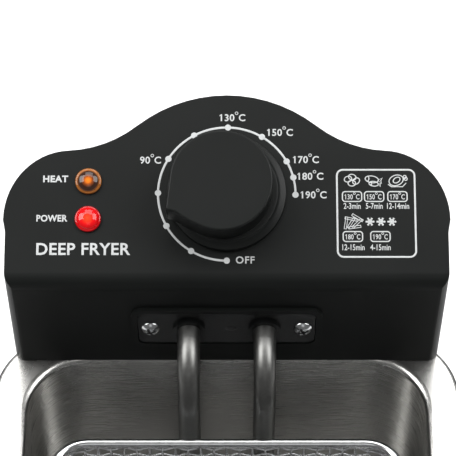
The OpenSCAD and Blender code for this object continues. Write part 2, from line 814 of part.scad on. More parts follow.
module lamp_lens() {
    cap = 1.2;
    union() {
        cylinder(d = lamp_d, h = cap);
        translate([0, 0, cap - eps]) cylinder(d1 = lamp_d - 0.6, d2 = lamp_d - 4, h = 2);
        translate([0, 0, -head_wall - lamp_tail])
            cylinder(d = lamp_d - lamp_shank, h = head_wall + lamp_tail + eps);
    }
}
module heat_lamp_lens() { color("#d9822b") on_panel() translate([lamp_x, lamp_v[0], 0]) lamp_lens(); }
module power_lamp_lens() { color("#d11a1a") on_panel() translate([lamp_x, lamp_v[1], 0]) lamp_lens(); }

module lamp_bodies() {
    h = 7;
    color("#e6e4dc") on_panel() at_lamps() translate([0, 0, -head_wall - lamp_tail - h])
        cylinder(d = lamp_d - lamp_shank - 1, h = h);
}

module cord_gland() {
    inside = 11;
    color("#1b1b1c") on_back() translate([0, gland_z, 0]) difference() {
        union() {
            translate([0, 0, seat_gap]) cylinder(d = gland_flange, h = gland_out - seat_gap);
            translate([0, 0, -inside]) cylinder(d = gland_body, h = inside + 1);
        }
        translate([0, 0, -inside - 1]) cylinder(d = gland_bore, h = gland_out + inside + 2);
    }
}

module gland_nut() {
    color("#2b2b2c") on_back() translate([0, gland_z, -8]) difference() {
        cylinder(d = gland_body + 7, h = 4, $fn = 6);
        translate([0, 0, -eps]) cylinder(d = gland_body + 2 * screw_gap, h = 5);
    }
}

// ---------- knob ----------

// Round grip with a nose: a straight flank runs from the circle to the nose's tip, and a hollow one back.
module knob_grip_outline() {
    reach = nose_tip - grip_off;
    a = atan2(reach[1], reach[0]) - acos(grip_r / norm(reach));
    translate(grip_off) circle(grip_r);
    polygon([grip_off, grip_off + grip_r * [cos(a), sin(a)], nose_tip, nose_tip + [-2.7, 2.5],
             nose_tip + [-3.9, 5.2], nose_tip + [-5.3, 8], nose_tip + [-7.3, 11]]);
}

module knob() {
    color("#2a2c2b") on_panel() translate([0, dial_v, 0]) rotate(pointer_at) difference() {
        union() {
            translate([0, 0, knob_lift]) cylinder(r = skirt_r, h = skirt_h - knob_lift);
            translate([0, 0, knob_lift]) linear_extrude(knob_h - knob_lift) knob_grip_outline();
        }
        translate([0, 0, -eps]) cylinder(r = skirt_r - 2, h = skirt_h - 1.6);
        difference() {
            translate([0, 0, -eps]) cylinder(r = grip_r - 4, h = knob_h - knob_top_t);
            translate([0, 0, -1]) cylinder(d = hub_d, h = knob_h + 2);
        }
        translate([0, 0, -eps]) cylinder(d = shaft_d + 2 * screw_gap, h = knob_h - knob_top_t - 2);
    }
}

module thermostat_shaft() {
    low = -head_wall - boss_h - bracket_t - stat_neck - stat_h + 4;
    color("#b9bcc0") on_panel() translate([0, dial_v, low])
        cylinder(d = shaft_d, h = knob_h - knob_top_t - 3 - low);
}

// Spring ring round the knob's hub.
module knob_clip() {
    color("#8d9094") on_panel() translate([0, dial_v, 7]) difference() {
        cylinder(d = hub_d + 2 * (screw_gap + clip_t), h = 4);
        translate([0, 0, -eps]) cylinder(d = hub_d + 2 * screw_gap, h = 5);
        translate([0, -1, -eps]) cube([10, 2, 5]);
    }
}

// ---------- basket ----------

module basket_prism(inset, z, h) {
    translate([0, basket_y, z]) linear_extrude(h)
        rounded_rect(basket_w - 2 * inset, basket_d - 2 * inset, basket_r - inset);
}

// Woven sides of the basket, as a closed band.
module basket_mesh() {
    side_h = basket_h - rim_wire_d / 2 - basket_wall;
    color("#c9ccd0") difference() {
        basket_prism(mesh_inset, basket_z + basket_wall, side_h);
        basket_prism(mesh_inset + basket_wall, basket_z, basket_h);
        at_bracket_rivets() cylinder(d = bracket_rivet_d + 2 * screw_gap, h = 12, center = true);
    }
}

// Woven floor of the basket, crimped to the sides.
module basket_floor() {
    color("#c9ccd0") basket_prism(mesh_inset, basket_z, basket_wall);
}

module basket_rim_wire() {
    x = (basket_w - rim_wire_d) / 2;
    y = (basket_d - rim_wire_d) / 2;
    r = basket_r - rim_wire_d / 2;
    color("#d4d7da") translate([0, basket_y, basket_top])
        tube_run([[0, -y, 0], [x, -y, 0], [x, y, 0], [-x, y, 0], [-x, -y, 0], [0, -y, 0]], [r, r, r, r],
                 rim_wire_d);
}

// Folded plate on the basket's front, with two ears above the tank's rim for the handle's pivot.
bracket_front = basket_front - ear_t;
module basket_bracket() {
    w = 2 * (ear_x + ear_t);
    low = basket_top - bracket_drop;
    top = pivot_z - ear_r;
    color("#b9bcc0") difference() {
        union() {
            translate([-w / 2, bracket_front, low]) cube([w, ear_t, top - low]);
            for (side = [-1, 1]) translate([side * (ear_x + ear_t / 2), 0, 0]) rotate([90, 0, 90])
                translate([0, 0, -ear_t / 2]) linear_extrude(ear_t) union() {
                    translate([pivot_y, pivot_z]) circle(ear_r);
                    translate([pivot_y - ear_r, top - 3]) square([2 * ear_r, pivot_z - top + 3]);
                    translate([pivot_y - ear_r, top - 3])
                        square([bracket_front - pivot_y + ear_r + ear_t, 3]);
                }
        }
        for (side = [-1, 1]) translate([side * ear_x, pivot_y, pivot_z]) rotate([0, 90, 0])
            cylinder(d = rim_wire_d + 2 * run_gap, h = 4 * ear_t, center = true);
        at_bracket_rivets() cylinder(d = bracket_rivet_d + 2 * screw_gap, h = 8, center = true);
    }
}

// Rivet axes, pointing out of the basket's front, from the face of the mesh.
module at_bracket_rivets() {
    for (x = [-1, 1]) translate([x * arm_x, basket_front + mesh_inset, basket_top - bracket_drop + 10])
        rotate([90, 0, 0]) children();
}

module bracket_rivets() {
    color("#8d9094") at_bracket_rivets() union() {
        translate([0, 0, -basket_wall - 0.8]) cylinder(d = bracket_rivet_d * 1.6, h = 0.8);
        translate([0, 0, -basket_wall - eps])
            cylinder(d = bracket_rivet_d, h = basket_wall + mesh_inset + ear_t + 0.4);
        cylinder(d = bracket_rivet_d * 1.6, h = mesh_inset);
        translate([0, 0, mesh_inset + ear_t]) cylinder(d = bracket_rivet_d * 1.6, h = 0.9);
    }
}

module handle_wires() {
    reach = handle_len - grip_len + grip_socket;
    color("#d4d7da") translate([0, pivot_y, pivot_z]) for (side = [-1, 1])
        tube_run([[side * (ear_x + ear_t + 1.6), 0, 0], [side * arm_x, 0, 0], [side * arm_x, -reach, 0]],
                 [arm_bend], rim_wire_d);
}

module handle_grip() {
    color("#1b1b1c") translate([0, pivot_y - handle_len, pivot_z]) difference() {
        rotate([-90, 0, 0]) linear_extrude(grip_len) rounded_rect(grip_w, grip_h, grip_r_edge);
        for (side = [-1, 1]) translate([side * arm_x, grip_len - grip_socket, 0]) rotate([-90, 0, 0])
            cylinder(d = rim_wire_d + 2 * screw_gap, h = grip_socket + 1);
        at_grip_screw() translate([0, 0, -0.5]) cylinder(d = small_screw_d + 2 * screw_gap, h = 8);
        at_grip_screw() translate([0, 0, -4]) cylinder(d = small_head_d + 2 * seat_gap, h = 4);
    }
}

// Screw under the grip, relative to the grip's end, with its seat at z = 0.
module at_grip_screw() {
    translate([0, grip_len * 0.72, 3 - grip_h / 2]) children();
}

module grip_screw() {
    color("#8d9094") translate([0, pivot_y - handle_len, pivot_z]) at_grip_screw() rotate([180, 0, 0])
        pan_screw(small_head_d, small_screw_d, 7);
}

base_tray();
rubber_feet();
base_screws();
outer_casing();
casing_collar();
left_handle();
right_handle();
handle_screws();
head_guide();
guide_rivets();
oil_tank();
head_cover();
head_housing();
housing_screws();
element_plate();
plate_screws();
element_collars();
heating_element();
element_terminals();
element_guard();
thermostat_body();
thermostat_bracket();
bracket_screws();
capillary_tube();
thermostat_bulb();
bulb_clip();
thermal_cutout();
safety_switch();
terminal_block();
internal_wiring();
heat_lamp_lens();
power_lamp_lens();
lamp_bodies();
cord_gland();
gland_nut();
knob();
knob_clip();
thermostat_shaft();
reset_button();
interlock_pin();
basket_mesh();
basket_floor();
basket_rim_wire();
basket_bracket();
bracket_rivets();
handle_wires();
handle_grip();
grip_screw();
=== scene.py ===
"""Looks for a small countertop deep fryer: lift-off control head, oil tank, wire basket and steel casing.

Each operator below makes one piece, or one group of like pieces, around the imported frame. Sizes are in
metres. The panel's pieces are made flat, in the panel's own axes, and are then laid on its slope.
"""
import json
from math import acos, asin, atan2, ceil, cos, degrees, hypot, pi, radians, sin, sqrt

import bmesh
import bpy
from bpy.types import Operator, Panel, PropertyGroup
from mathutils import Matrix, Vector


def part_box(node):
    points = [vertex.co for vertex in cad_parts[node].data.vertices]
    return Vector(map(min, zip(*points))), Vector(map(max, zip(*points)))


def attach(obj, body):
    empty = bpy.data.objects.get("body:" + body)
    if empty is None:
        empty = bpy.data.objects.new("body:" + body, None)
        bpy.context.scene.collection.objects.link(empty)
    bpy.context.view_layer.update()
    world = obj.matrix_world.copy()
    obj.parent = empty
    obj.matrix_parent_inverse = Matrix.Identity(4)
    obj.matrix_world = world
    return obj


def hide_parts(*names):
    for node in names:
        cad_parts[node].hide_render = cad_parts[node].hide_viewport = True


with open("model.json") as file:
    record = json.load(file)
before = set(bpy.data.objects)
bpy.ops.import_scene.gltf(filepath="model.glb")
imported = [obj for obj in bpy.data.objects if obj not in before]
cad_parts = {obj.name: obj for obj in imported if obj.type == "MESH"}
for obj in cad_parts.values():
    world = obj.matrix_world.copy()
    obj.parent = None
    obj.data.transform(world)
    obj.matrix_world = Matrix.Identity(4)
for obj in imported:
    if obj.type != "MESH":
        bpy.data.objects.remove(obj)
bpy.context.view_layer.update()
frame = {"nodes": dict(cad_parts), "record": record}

bl_info = {
    "name": "Countertop deep fryer",
    "version": (1, 0, 0),
    "blender": (4, 5, 0),
    "location": "3D View > Sidebar > Fryer",
    "description": "Models the fryer's visible pieces around its frame",
    "category": "Object",
}

MM = 0.001
NODES = frame["nodes"]
JOINTS = {j["name"]: j for j in frame["record"]["behaviour"]["joints"]}


def shift(*place):
    return Matrix.Translation(place)


def box(node):
    """Lowest and highest corner of a frame part, as vectors."""
    low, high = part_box(node)
    return Vector(low), Vector(high)


PLATE_DEPTH = 3.5 * MM  # of the element plate's back behind the front wall
SHEET_T = 1.2 * MM  # thickness of the tank's and the casing's steel
WELL = 13 * MM  # width of the tank's flange
FOOT_R = 9 * MM  # radius of a foot
CASE_R = 30 * MM  # corner radius of the casing

# Places taken from the frame.
PLATE_LOW, PLATE_HIGH = box("element_plate")
TANK_LOW, TANK_HIGH = box("oil_tank")
CASE_LOW, CASE_HIGH = box("outer_casing")
RIM_LOW, RIM_HIGH = box("basket_rim_wire")
MESH_LOW, MESH_HIGH = box("basket_mesh")
GRIP_LOW, GRIP_HIGH = box("handle_grip")
CASE_Y = (CASE_LOW.y + CASE_HIGH.y) / 2
HEAD_Z = box("head_cover")[0].z
FRONT_Y = PLATE_HIGH.y - PLATE_DEPTH  # outer face of the head's front wall
PLATE_Z = (PLATE_LOW.z + PLATE_HIGH.z) / 2
DIAL = Vector(JOINTS["knob_turn"]["pos_m"])
SLOPE = -asin(JOINTS["knob_turn"]["axis"][1])
DIAL_V = (DIAL.y - FRONT_Y) / cos(SLOPE)

# Axes of the sloping panel: x across, y up the slope, z out of it, from the middle of its front edge.
PANEL = shift(*DIAL) @ Matrix.Rotation(SLOPE, 4, "X") @ shift(0, -DIAL_V, 0)
# Axes of the front wall: x across, y up, z out of it, from the middle of the element's plate.
WALL = shift(0, FRONT_Y, PLATE_Z) @ Matrix.Rotation(pi / 2, 4, "X")
WALL_H = PANEL.translation.z - HEAD_Z


# ---------- sizes and colours a user would change ----------

def length(name, description, millimetres):
    return bpy.props.FloatProperty(name=name, description=description, default=millimetres * MM,
                                   min=0, unit="LENGTH", subtype="DISTANCE", precision=5)


class FryerSizes(PropertyGroup):
    edge: length("Edge radius", "Fillet along the edges of the head's cover", 1.1)
    skirt: length("Knob skirt", "Radius of the knob's skirt", 23.5)
    grip: length("Knob grip", "Radius of the knob's raised grip", 20.0)
    knob_height: length("Knob height", "Height of the knob above the panel", 19.0)
    dial: length("Dial radius", "Radius of the printed dial's line", 27.1)
    line: length("Print line", "Width of the printed lines", 0.85)
    lamp: length("Lamp", "Diameter of a pilot lamp's lens", 10.4)
    mesh_wire: length("Mesh wire", "Diameter of the basket's mesh wire", 1.1)
    mesh_pitch: length("Mesh pitch", "Spacing of the basket's mesh wires", 5.2)
    tank_radius: length("Tank floor radius", "Radius between the tank's walls and its floor", 9.0)


def colour(name, description, code):
    return bpy.props.FloatVectorProperty(name=name, description=description, size=3, min=0, max=1,
                                         subtype="COLOR", default=linear(code))


def linear(code):
    """Linear colour of an sRGB hex value."""
    parts = [int(code[i:i + 2], 16) / 255 for i in (1, 3, 5)]
    return [c / 12.92 if c <= 0.04045 else ((c + 0.055) / 1.055) ** 2.4 for c in parts]


class FryerColours(PropertyGroup):
    panel: colour("Panel", "Moulded ABS of the head", "#101211")
    knob: colour("Knob", "Moulded ABS of the knob", "#0e100f")
    ink: colour("Ink", "Pad-printed lines and figures", "#b6b8b8")
    steel: colour("Steel", "Stainless steel sheet", "#bcbbb8")
    element: colour("Element", "Steel tube of the element", "#6e6e6c")
    trim: colour("Trim", "Black plastic of base, collar and handles", "#1c1c1d")


# ---------- modelling helpers ----------

def alone(piece=None):
    """Leaves edit mode, and leaves only this piece selected and active."""
    if bpy.context.object and bpy.context.object.mode != "OBJECT":
        bpy.ops.object.mode_set(mode="OBJECT")
    bpy.ops.object.select_all(action="DESELECT")
    if piece:
        bpy.context.view_layer.objects.active = piece
        piece.select_set(True)


def primitive(kind, name, **settings):
    alone()
    getattr(bpy.ops.mesh, f"primitive_{kind}_add")(**settings)
    piece = bpy.context.object
    piece.name = piece.data.name = name
    return piece


def edit_all(piece):
    """Edit mode on one piece, with all of it selected."""
    alone(piece)
    bpy.ops.object.mode_set(mode="EDIT")
    bpy.ops.mesh.select_mode(type="FACE")
    bpy.ops.mesh.select_all(action="SELECT")


def outward(piece):
    """Merges doubles and turns every face outwards."""
    edit_all(piece)
    bpy.ops.mesh.remove_doubles(threshold=1e-6)
    bpy.ops.mesh.normals_make_consistent(inside=False)
    alone(piece)


def stack(name, rings, caps=True):
    """A circle shaped to the first ring of points, then extruded and shaped to each ring after it."""
    piece = primitive("circle", name, vertices=len(rings[0]), fill_type="NGON" if caps else "NOTHING")
    for vertex, point in zip(piece.data.vertices, rings[0]):
        vertex.co = point
    edit_all(piece)
    for before, after in zip(rings, rings[1:]):
        (bpy.ops.mesh.extrude_region_move if caps else bpy.ops.mesh.extrude_edges_move)()
        where = {tuple(round(c, 7) for c in a): Vector(b) for a, b in zip(before, after)}
        shape = bmesh.from_edit_mesh(piece.data)
        for vertex in [v for v in shape.verts if v.select]:
            vertex.co = where[tuple(round(c, 7) for c in vertex.co)]
        bmesh.update_edit_mesh(piece.data)
    outward(piece)
    return piece


def settle(rings):
    """Rounds the points of rings, so that each stays findable while the rings are extruded."""
    return [[Vector(round(c, 6) for c in p) for p in ring] for ring in rings]


def modifier(piece, kind, **settings):
    """Adds a modifier and applies it."""
    alone(piece)
    made = piece.modifiers.new(kind.title(), kind)
    for key, value in settings.items():
        setattr(made, key, value)
    bpy.ops.object.modifier_apply(modifier=made.name)


SHARP = 32  # degrees from which an edge is filleted
SMOOTH = 34  # degrees up to which an edge is shaded smooth


def soften(piece, width, segments=3, angle=SHARP):
    modifier(piece, "BEVEL", width=width, segments=segments, limit_method="ANGLE",
             angle_limit=radians(angle), harden_normals=False, miter_outer="MITER_ARC")


def joined(name, pieces):
    """One piece from several."""
    alone(pieces[0])
    for piece in pieces:
        piece.select_set(True)
    bpy.ops.object.join()
    pieces[0].name = pieces[0].data.name = name
    return pieces[0]


def copied(piece, move):
    """A copy with its own mesh, moved by a matrix."""
    alone(piece)
    bpy.ops.object.duplicate()
    copy = bpy.context.object
    copy.data.transform(move)
    return copy


def meshed(piece):
    """A curve or text object made a mesh."""
    alone(piece)
    bpy.ops.object.convert(target="MESH")
    return bpy.context.object


def done(piece, kind, body, *replaced, slot=None, angle=SMOOTH):
    """Shades a piece, gives it its finish and body, and hides the frame parts it stands for."""
    alone(piece)
    piece.data.materials.clear()
    piece.data.materials.append(painted(kind))
    bpy.ops.object.shade_smooth_by_angle(angle=radians(angle))
    modifier(piece, "WEIGHTED_NORMAL", keep_sharp=True, weight=80)
    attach(piece, body)
    if replaced:
        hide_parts(*replaced)


def arc(centre, radius, start, stop, step=6):
    """Points of an arc in the plane, from start to stop degrees."""
    count = max(2, ceil(abs(stop - start) / step))
    turns = [radians(start + (stop - start) * i / count) for i in range(count + 1)]
    return [(centre[0] + radius * cos(t), centre[1] + radius * sin(t)) for t in turns]


def round_rect(width, depth, radius, step=9):
    """Points of a rectangle with round corners, counter-clockwise from its right side."""
    x, y = width / 2 - radius, depth / 2 - radius
    corners = [(x, y), (-x, y), (-x, -y), (x, -y)]
    return [p for i, c in enumerate(corners) for p in arc(c, radius, 90 * i, 90 * i + 90, step)]


def at(points, height, place):
    """A flat list of points, raised to a height in the axes of place."""
    return [place @ Vector((x, y, height)) for x, y in points]


def lathe(name, profile, place, sides=64):
    """A turned piece: profile holds (radius, height) pairs in millimetres, from one end to the other."""
    circle = [(cos(2 * pi * i / sides), sin(2 * pi * i / sides)) for i in range(sides)]
    rings = [at([(r * x * MM, r * y * MM) for x, y in circle], h * MM, place) for r, h in profile]
    return stack(name, settle(rings))


def fillet(radius, count=6):
    """Pairs (inset, rise) round a quarter circle."""
    turns = [pi / 2 * i / count for i in range(count + 1)]
    return [(radius * (1 - cos(t)), radius * sin(t)) for t in turns]


def wires(name, paths, radius, loop=False, sides=8):
    """Round wires along paths: a bevelled curve, made a mesh."""
    alone()
    bpy.ops.curve.primitive_bezier_curve_add()
    piece = bpy.context.object
    piece.name = name
    piece.data.splines.clear()
    for path in paths:
        spline = piece.data.splines.new("POLY")
        spline.points.add(len(path) - 1)
        for point, where in zip(spline.points, path):
            point.co = (*where, 1)
        spline.use_cyclic_u = loop
    piece.data.bevel_depth = radius
    piece.data.bevel_resolution = sides // 2 - 2
    piece.data.use_fill_caps = not loop
    piece = meshed(piece)
    piece.data.name = name
    outward(piece)
    return piece


# ---------- finishes ----------

def put(made, values):
    """Sets a node's sockets, or its own settings, by names with _ for a space."""
    for key, value in values.items():
        socket = key.replace("_", " ")
        if socket in made.inputs:
            made.inputs[socket].default_value = value
        else:
            setattr(made, key, value)


def node(tree, kind, links=(), feeds=None, stops=(), **settings):
    """Adds a shader node with its settings and colour stops.

    Links holds (socket, source) pairs that go into it, and feeds is the surface's socket it goes to.
    """
    made = tree.nodes.new("ShaderNode" + kind)
    for i, (position, value) in enumerate(stops):
        if i >= len(made.color_ramp.elements):
            made.color_ramp.elements.new(1.0)
        made.color_ramp.elements[i].position = position
        made.color_ramp.elements[i].color = (*value, 1)
    put(made, settings)
    for socket, source in links:
        tree.links.new(source, made.inputs[socket])
    if feeds:
        tree.links.new(made.outputs[0], tree.nodes["Principled BSDF"].inputs[feeds])
    return made


def finish(name, **values):
    """A material with these values on its surface: returns it, its tree and its Object coordinates."""
    made = bpy.data.materials.new(name)
    made.use_nodes = True
    put(made.node_tree.nodes["Principled BSDF"], values)
    return made, made.node_tree, node(made.node_tree, "TexCoord").outputs["Object"]


# Spark-eroded moulds: width of three grains, and the depth of all.
FINE_GRAIN, PLAIN_GRAIN, COARSE_GRAIN = 0.35 * MM, 0.5 * MM, 0.6 * MM
GRAIN_DEPTH = 0.02 * MM


def moulded(name, base, roughness, grain, shine=0.5, ior=1.53):
    """Injection-moulded plastic: an even dark body with a fine spark-eroded grain that dulls its shine."""
    made, tree, where = finish(name, Roughness=roughness, IOR=ior, Specular_IOR_Level=shine)
    patches = node(tree, "TexNoise", [("Vector", where)], Scale=25.0, Detail=3.0)
    node(tree, "ValToRGB", [("Fac", patches.outputs["Fac"])], "Base Color",
         stops=[(0.3, [c * 0.93 for c in base]), (0.7, [min(1, c * 1.07) for c in base])])
    node(tree, "MapRange", [("Value", patches.outputs["Fac"])], "Roughness",
         To_Min=roughness - 0.04, To_Max=roughness + 0.05)
    texture = node(tree, "TexNoise", [("Vector", where)], Scale=1 / grain, Detail=2.0)
    node(tree, "Bump", [("Height", texture.outputs["Fac"])], "Normal", Distance=GRAIN_DEPTH, Strength=0.6)
    return made


def brushed(name, base, roughness, stretch, grain=0.5 * MM, depth=0.012 * MM):
    """Brushed stainless sheet: fine parallel scratches that draw the highlights out across them."""
    made, tree, where = finish(name, Metallic=1.0, Roughness=roughness, Anisotropic=0.45)
    lines = node(tree, "Mapping", [("Vector", where)], Scale=stretch)
    scratch = node(tree, "TexNoise", [("Vector", lines.outputs["Vector"])], Scale=1 / grain, Detail=3.0,
                   Roughness=0.6)
    cloud = node(tree, "TexNoise", [("Vector", where)], Scale=14.0, Detail=2.0)
    node(tree, "ValToRGB", [("Fac", scratch.outputs["Fac"])], "Base Color",
         stops=[(0.3, [c * 0.92 for c in base]), (0.7, [min(1, c * 1.04) for c in base])])
    mix = node(tree, "Math", [(0, scratch.outputs["Fac"]), (1, cloud.outputs["Fac"])], operation="MULTIPLY")
    node(tree, "MapRange", [("Value", mix.outputs["Value"])], "Roughness",
         From_Max=0.5, To_Min=roughness - 0.08, To_Max=roughness + 0.12)
    node(tree, "Bump", [("Height", scratch.outputs["Fac"])], "Normal", Distance=depth, Strength=0.5)
    return made


def metal(name, base, roughness, grain=2.0 * MM):
    """Drawn, plated or turned metal: an even bright surface with faint smears of dulled shine."""
    made, tree, where = finish(name, Metallic=1.0, Roughness=roughness)
    smear = node(tree, "TexNoise", [("Vector", where)], Scale=1 / grain, Detail=3.0)
    node(tree, "ValToRGB", [("Fac", smear.outputs["Fac"])], "Base Color",
         stops=[(0.3, [c * 0.9 for c in base]), (0.7, [min(1, c * 1.05) for c in base])])
    node(tree, "MapRange", [("Value", smear.outputs["Fac"])], "Roughness",
         To_Min=max(0.03, roughness - 0.06), To_Max=roughness + 0.08)
    return made


def ink(name, base):
    """Pad-printed ink: a thin matt white film, a little uneven where the pad laid less of it."""
    made, tree, where = finish(name, Roughness=0.55, IOR=1.5)
    film = node(tree, "TexNoise", [("Vector", where)], Scale=600.0, Detail=2.0)
    node(tree, "ValToRGB", [("Fac", film.outputs["Fac"])], "Base Color",
         stops=[(0.25, [c * 0.86 for c in base]), (0.5, base)])
    return made


def enamel(name, base):
    """Baked gloss enamel on steel: near-black, with a clear wet-looking shine and a slight orange peel."""
    made, tree, where = finish(name, Roughness=0.24, IOR=1.5, Specular_IOR_Level=0.4)
    peel = node(tree, "TexNoise", [("Vector", where)], Scale=500.0, Detail=1.0)
    node(tree, "ValToRGB", [("Fac", peel.outputs["Fac"])], "Base Color",
         stops=[(0.3, [c * 0.8 for c in base]), (0.7, base)])
    node(tree, "Bump", [("Height", peel.outputs["Fac"])], "Normal", Distance=GRAIN_DEPTH, Strength=0.3)
    return made


LENS_REACH = 5.8 * MM  # from the lamp to where the lens's colours end


def lens(name, centre, stops, strength):
    """Tinted acrylic lens over a neon lamp: rings of colour that brighten towards the lamp."""
    made, tree, where = finish(name, Roughness=0.1, IOR=1.49, Specular_IOR_Level=0.4,
                               Emission_Strength=strength)
    local = node(tree, "VectorMath", [(0, where)], operation="DISTANCE")
    local.inputs[1].default_value = centre
    reach = node(tree, "MapRange", [("Value", local.outputs["Value"])], From_Max=LENS_REACH)
    for socket in ("Base Color", "Emission Color"):
        node(tree, "ValToRGB", [("Fac", reach.outputs["Result"])], socket,
             stops=[(position, linear(code)) for position, code in stops])
    return made


def sizes():
    return bpy.context.scene.fryer_sizes


# Every finish by name, with what it gives the eye: how its surface was made, its colour and its values.
FINISHES = {}
RECIPES = {
    # Fine-grained ABS of the head: deep grey-black, only a dull sheen.
    "abs_moulded_satin": (moulded, "panel", 0.45, FINE_GRAIN, 0.15),
    # The knob's smoother tool: the same black, slightly clearer edges of light.
    "abs_knob_moulded": (moulded, "knob", 0.42, FINE_GRAIN, 0.17),
    # Heat-proof phenolic of the grip and base: coarser grain, livelier shine.
    "phenolic_moulded_black": (moulded, "trim", 0.36, PLAIN_GRAIN),
    # Rubber from a blasted mould: no shine at all.
    "rubber_moulded": (moulded, "#151515", 0.75, COARSE_GRAIN, 0.5, 1.52),
    # Brown filled phenolic of the electric parts: warm and half dull.
    "phenolic_brown": (moulded, "#3a2417", 0.4, COARSE_GRAIN),
    # Coloured nylon cap: a strong red that stands out of the housing.
    "nylon_red_button": (moulded, "#a01a16", 0.35, COARSE_GRAIN),
    # Woven and coated sleeving: off-white and soft.
    "silicone_sleeve": (moulded, "#b8b4a6", 0.5, COARSE_GRAIN, 0.5, 1.43),
    # Pad-printed ink: pale grey-white, dead flat.
    "pad_ink_white": (ink, "ink"),
    # Baked enamel: near-black with a clear wet shine; its black also fills the screw slots as painted shade.
    "enamel_gloss_black": (enamel, "#0d0e0e"),
    # Brushed sheet: level lines that smear the light upwards.
    "steel_sheet_brushed": (brushed, "steel", 0.3, (0.05, 0.05, 1.0)),
    # Drawn and polished sheet: finer lines and a clearer mirror.
    "steel_tank_drawn": (brushed, "steel", 0.26, (0.03, 0.03, 1.0), 0.4 * MM, 0.006 * MM),
    # Chromed wire: sharp bright lines with dark edges.
    "steel_wire_chromed": (metal, "#d6d7d8", 0.16),
    # Drawn and annealed tube: mid grey with two soft lines of light.
    "steel_tube_drawn": (metal, "element", 0.38, 1.5 * MM),
    # Zinc-plated strip: pale and slightly milky.
    "steel_strip_plated": (metal, "#aeb1b4", 0.34),
    # Nickel-plated screws: small hard sparks round a slot whose darkness is painted shade from separate
    # bars.
    "screw_nickel_plated": (metal, "#c3c5c6", 0.18),
    # Turned brass: warm yellow.
    "brass_turned": (metal, "#c2a052", 0.3),
    # Drawn copper: warm red-brown, dulled.
    "copper_drawn": (metal, "#b87748", 0.32),
}


def painted(kind):
    """The finish of one name, made once."""
    if kind not in FINISHES:
        make, code, *values = RECIPES[kind]
        base = linear(code) if code[0] == "#" else getattr(bpy.context.scene.fryer_colours, code)
        FINISHES[kind] = make(kind, base, *values)
    return FINISHES[kind]


# ---------- the pieces, one operator each ----------

FLAT = 1.5  # degrees up to which two faces are made one


def from_frame(node, name, width, segments=3):
    """A copy of a frame part's mesh, cleaned to flat faces, with its sharp edges filleted."""
    alone(NODES[node])
    bpy.ops.object.duplicate()
    piece = bpy.context.object
    piece.name = piece.data.name = name
    for key in [key for key in piece.keys() if key.startswith("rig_")]:
        del piece[key]
    piece.parent = None
    outward(piece)
    edit_all(piece)
    bpy.ops.mesh.dissolve_limited(angle_limit=radians(FLAT))
    alone(piece)
    soften(piece, width, segments)
    return piece


class FRYER_OT_cover(Operator):
    """Sloping control panel and front wall of the head, with softly rounded moulded edges"""
    bl_idname = "fryer.cover"
    bl_label = "Head cover"

    def execute(self, context):
        s = sizes()
        done(from_frame("head_cover", "head_shell", s.edge * 0.6), "abs_moulded_satin", "head",
             "head_cover", slot="panel_black")
        return {"FINISHED"}


class FRYER_OT_housing(Operator):
    """Rear housing of the head, hanging down behind the casing"""
    bl_idname = "fryer.housing"
    bl_label = "Rear housing"

    def execute(self, context):
        done(from_frame("head_housing", "rear_housing", 0.6 * MM), "abs_moulded_satin", "head",
             "head_housing", slot="black_abs")
        return {"FINISHED"}


class FRYER_OT_trim(Operator):
    """Moulded collar, base tray and two side handles of the casing"""
    bl_idname = "fryer.trim"
    bl_label = "Collar, base and side handles"

    def execute(self, context):
        for node, width in (("casing_collar", 0.7), ("base_tray", 0.9), ("left_handle", 2.2),
                            ("right_handle", 2.2)):
            done(from_frame(node, f"{node}_moulded", width * MM, 4), "phenolic_moulded_black",
                 "casing", node, slot="black_abs")
        return {"FINISHED"}


# ---------- printing ----------

PRINT_T = 0.08 * MM  # how far the ink stands above the panel
FONT_CAP = 0.69  # capital height of the built-in letters at size 1


def print_on(name, parts):
    """Flattens drawings made in the plane to the thickness of ink, and prints them on the panel."""
    piece = joined(name, parts)
    high = max(abs(v.co.z) for v in piece.data.vertices) or 1
    piece.data.transform(shift(0, 0, PRINT_T / 2) @ Matrix.Scale(PRINT_T / high, 4, (0, 0, 1)))
    piece.data.transform(PANEL)
    done(piece, "pad_ink_white", "head")


def lettering(body, x, y, cap, align="CENTER", bold=0.018, squeeze=1.0, space=1.0):
    """Letters of one capital height, standing with their middle at y."""
    alone()
    bpy.ops.object.text_add()
    piece = bpy.context.object
    size = cap / FONT_CAP
    text = piece.data
    text.body, text.align_x, text.size, text.offset = body, align, size, bold * size
    text.space_character, text.extrude, text.resolution_u = space, PRINT_T / 2, 3
    piece = meshed(piece)
    piece.data.transform(shift(x, y - cap / 2, 0) @ Matrix.Scale(squeeze, 4, (1, 0, 0)))
    outward(piece)
    return piece


def on_dial(x, y):
    """A place on the panel, from millimetres across and up from the knob's axis."""
    return x * MM, DIAL_V + y * MM


def outline(points, width, loop=True):
    return wires("line", [[(x, y, 0) for x, y in points]], width / 2, loop)


def moved(points, x, y, turn=0, grow=1.0):
    c, s = cos(radians(turn)) * grow, sin(radians(turn)) * grow
    return [(x + c * a - s * b, y + s * a + c * b) for a, b in points]


def ellipse(a, b, step=15):
    return [(a * cos(radians(t)), b * sin(radians(t))) for t in range(0, 360, step)]


DOT_R = 1.25 * MM  # of the dial's dots
ARC_STOPS = (270, 239, 209, 179.5, 148.5, 118.5, 89, 59, 29, 14, -1)  # degrees of the dial's dots


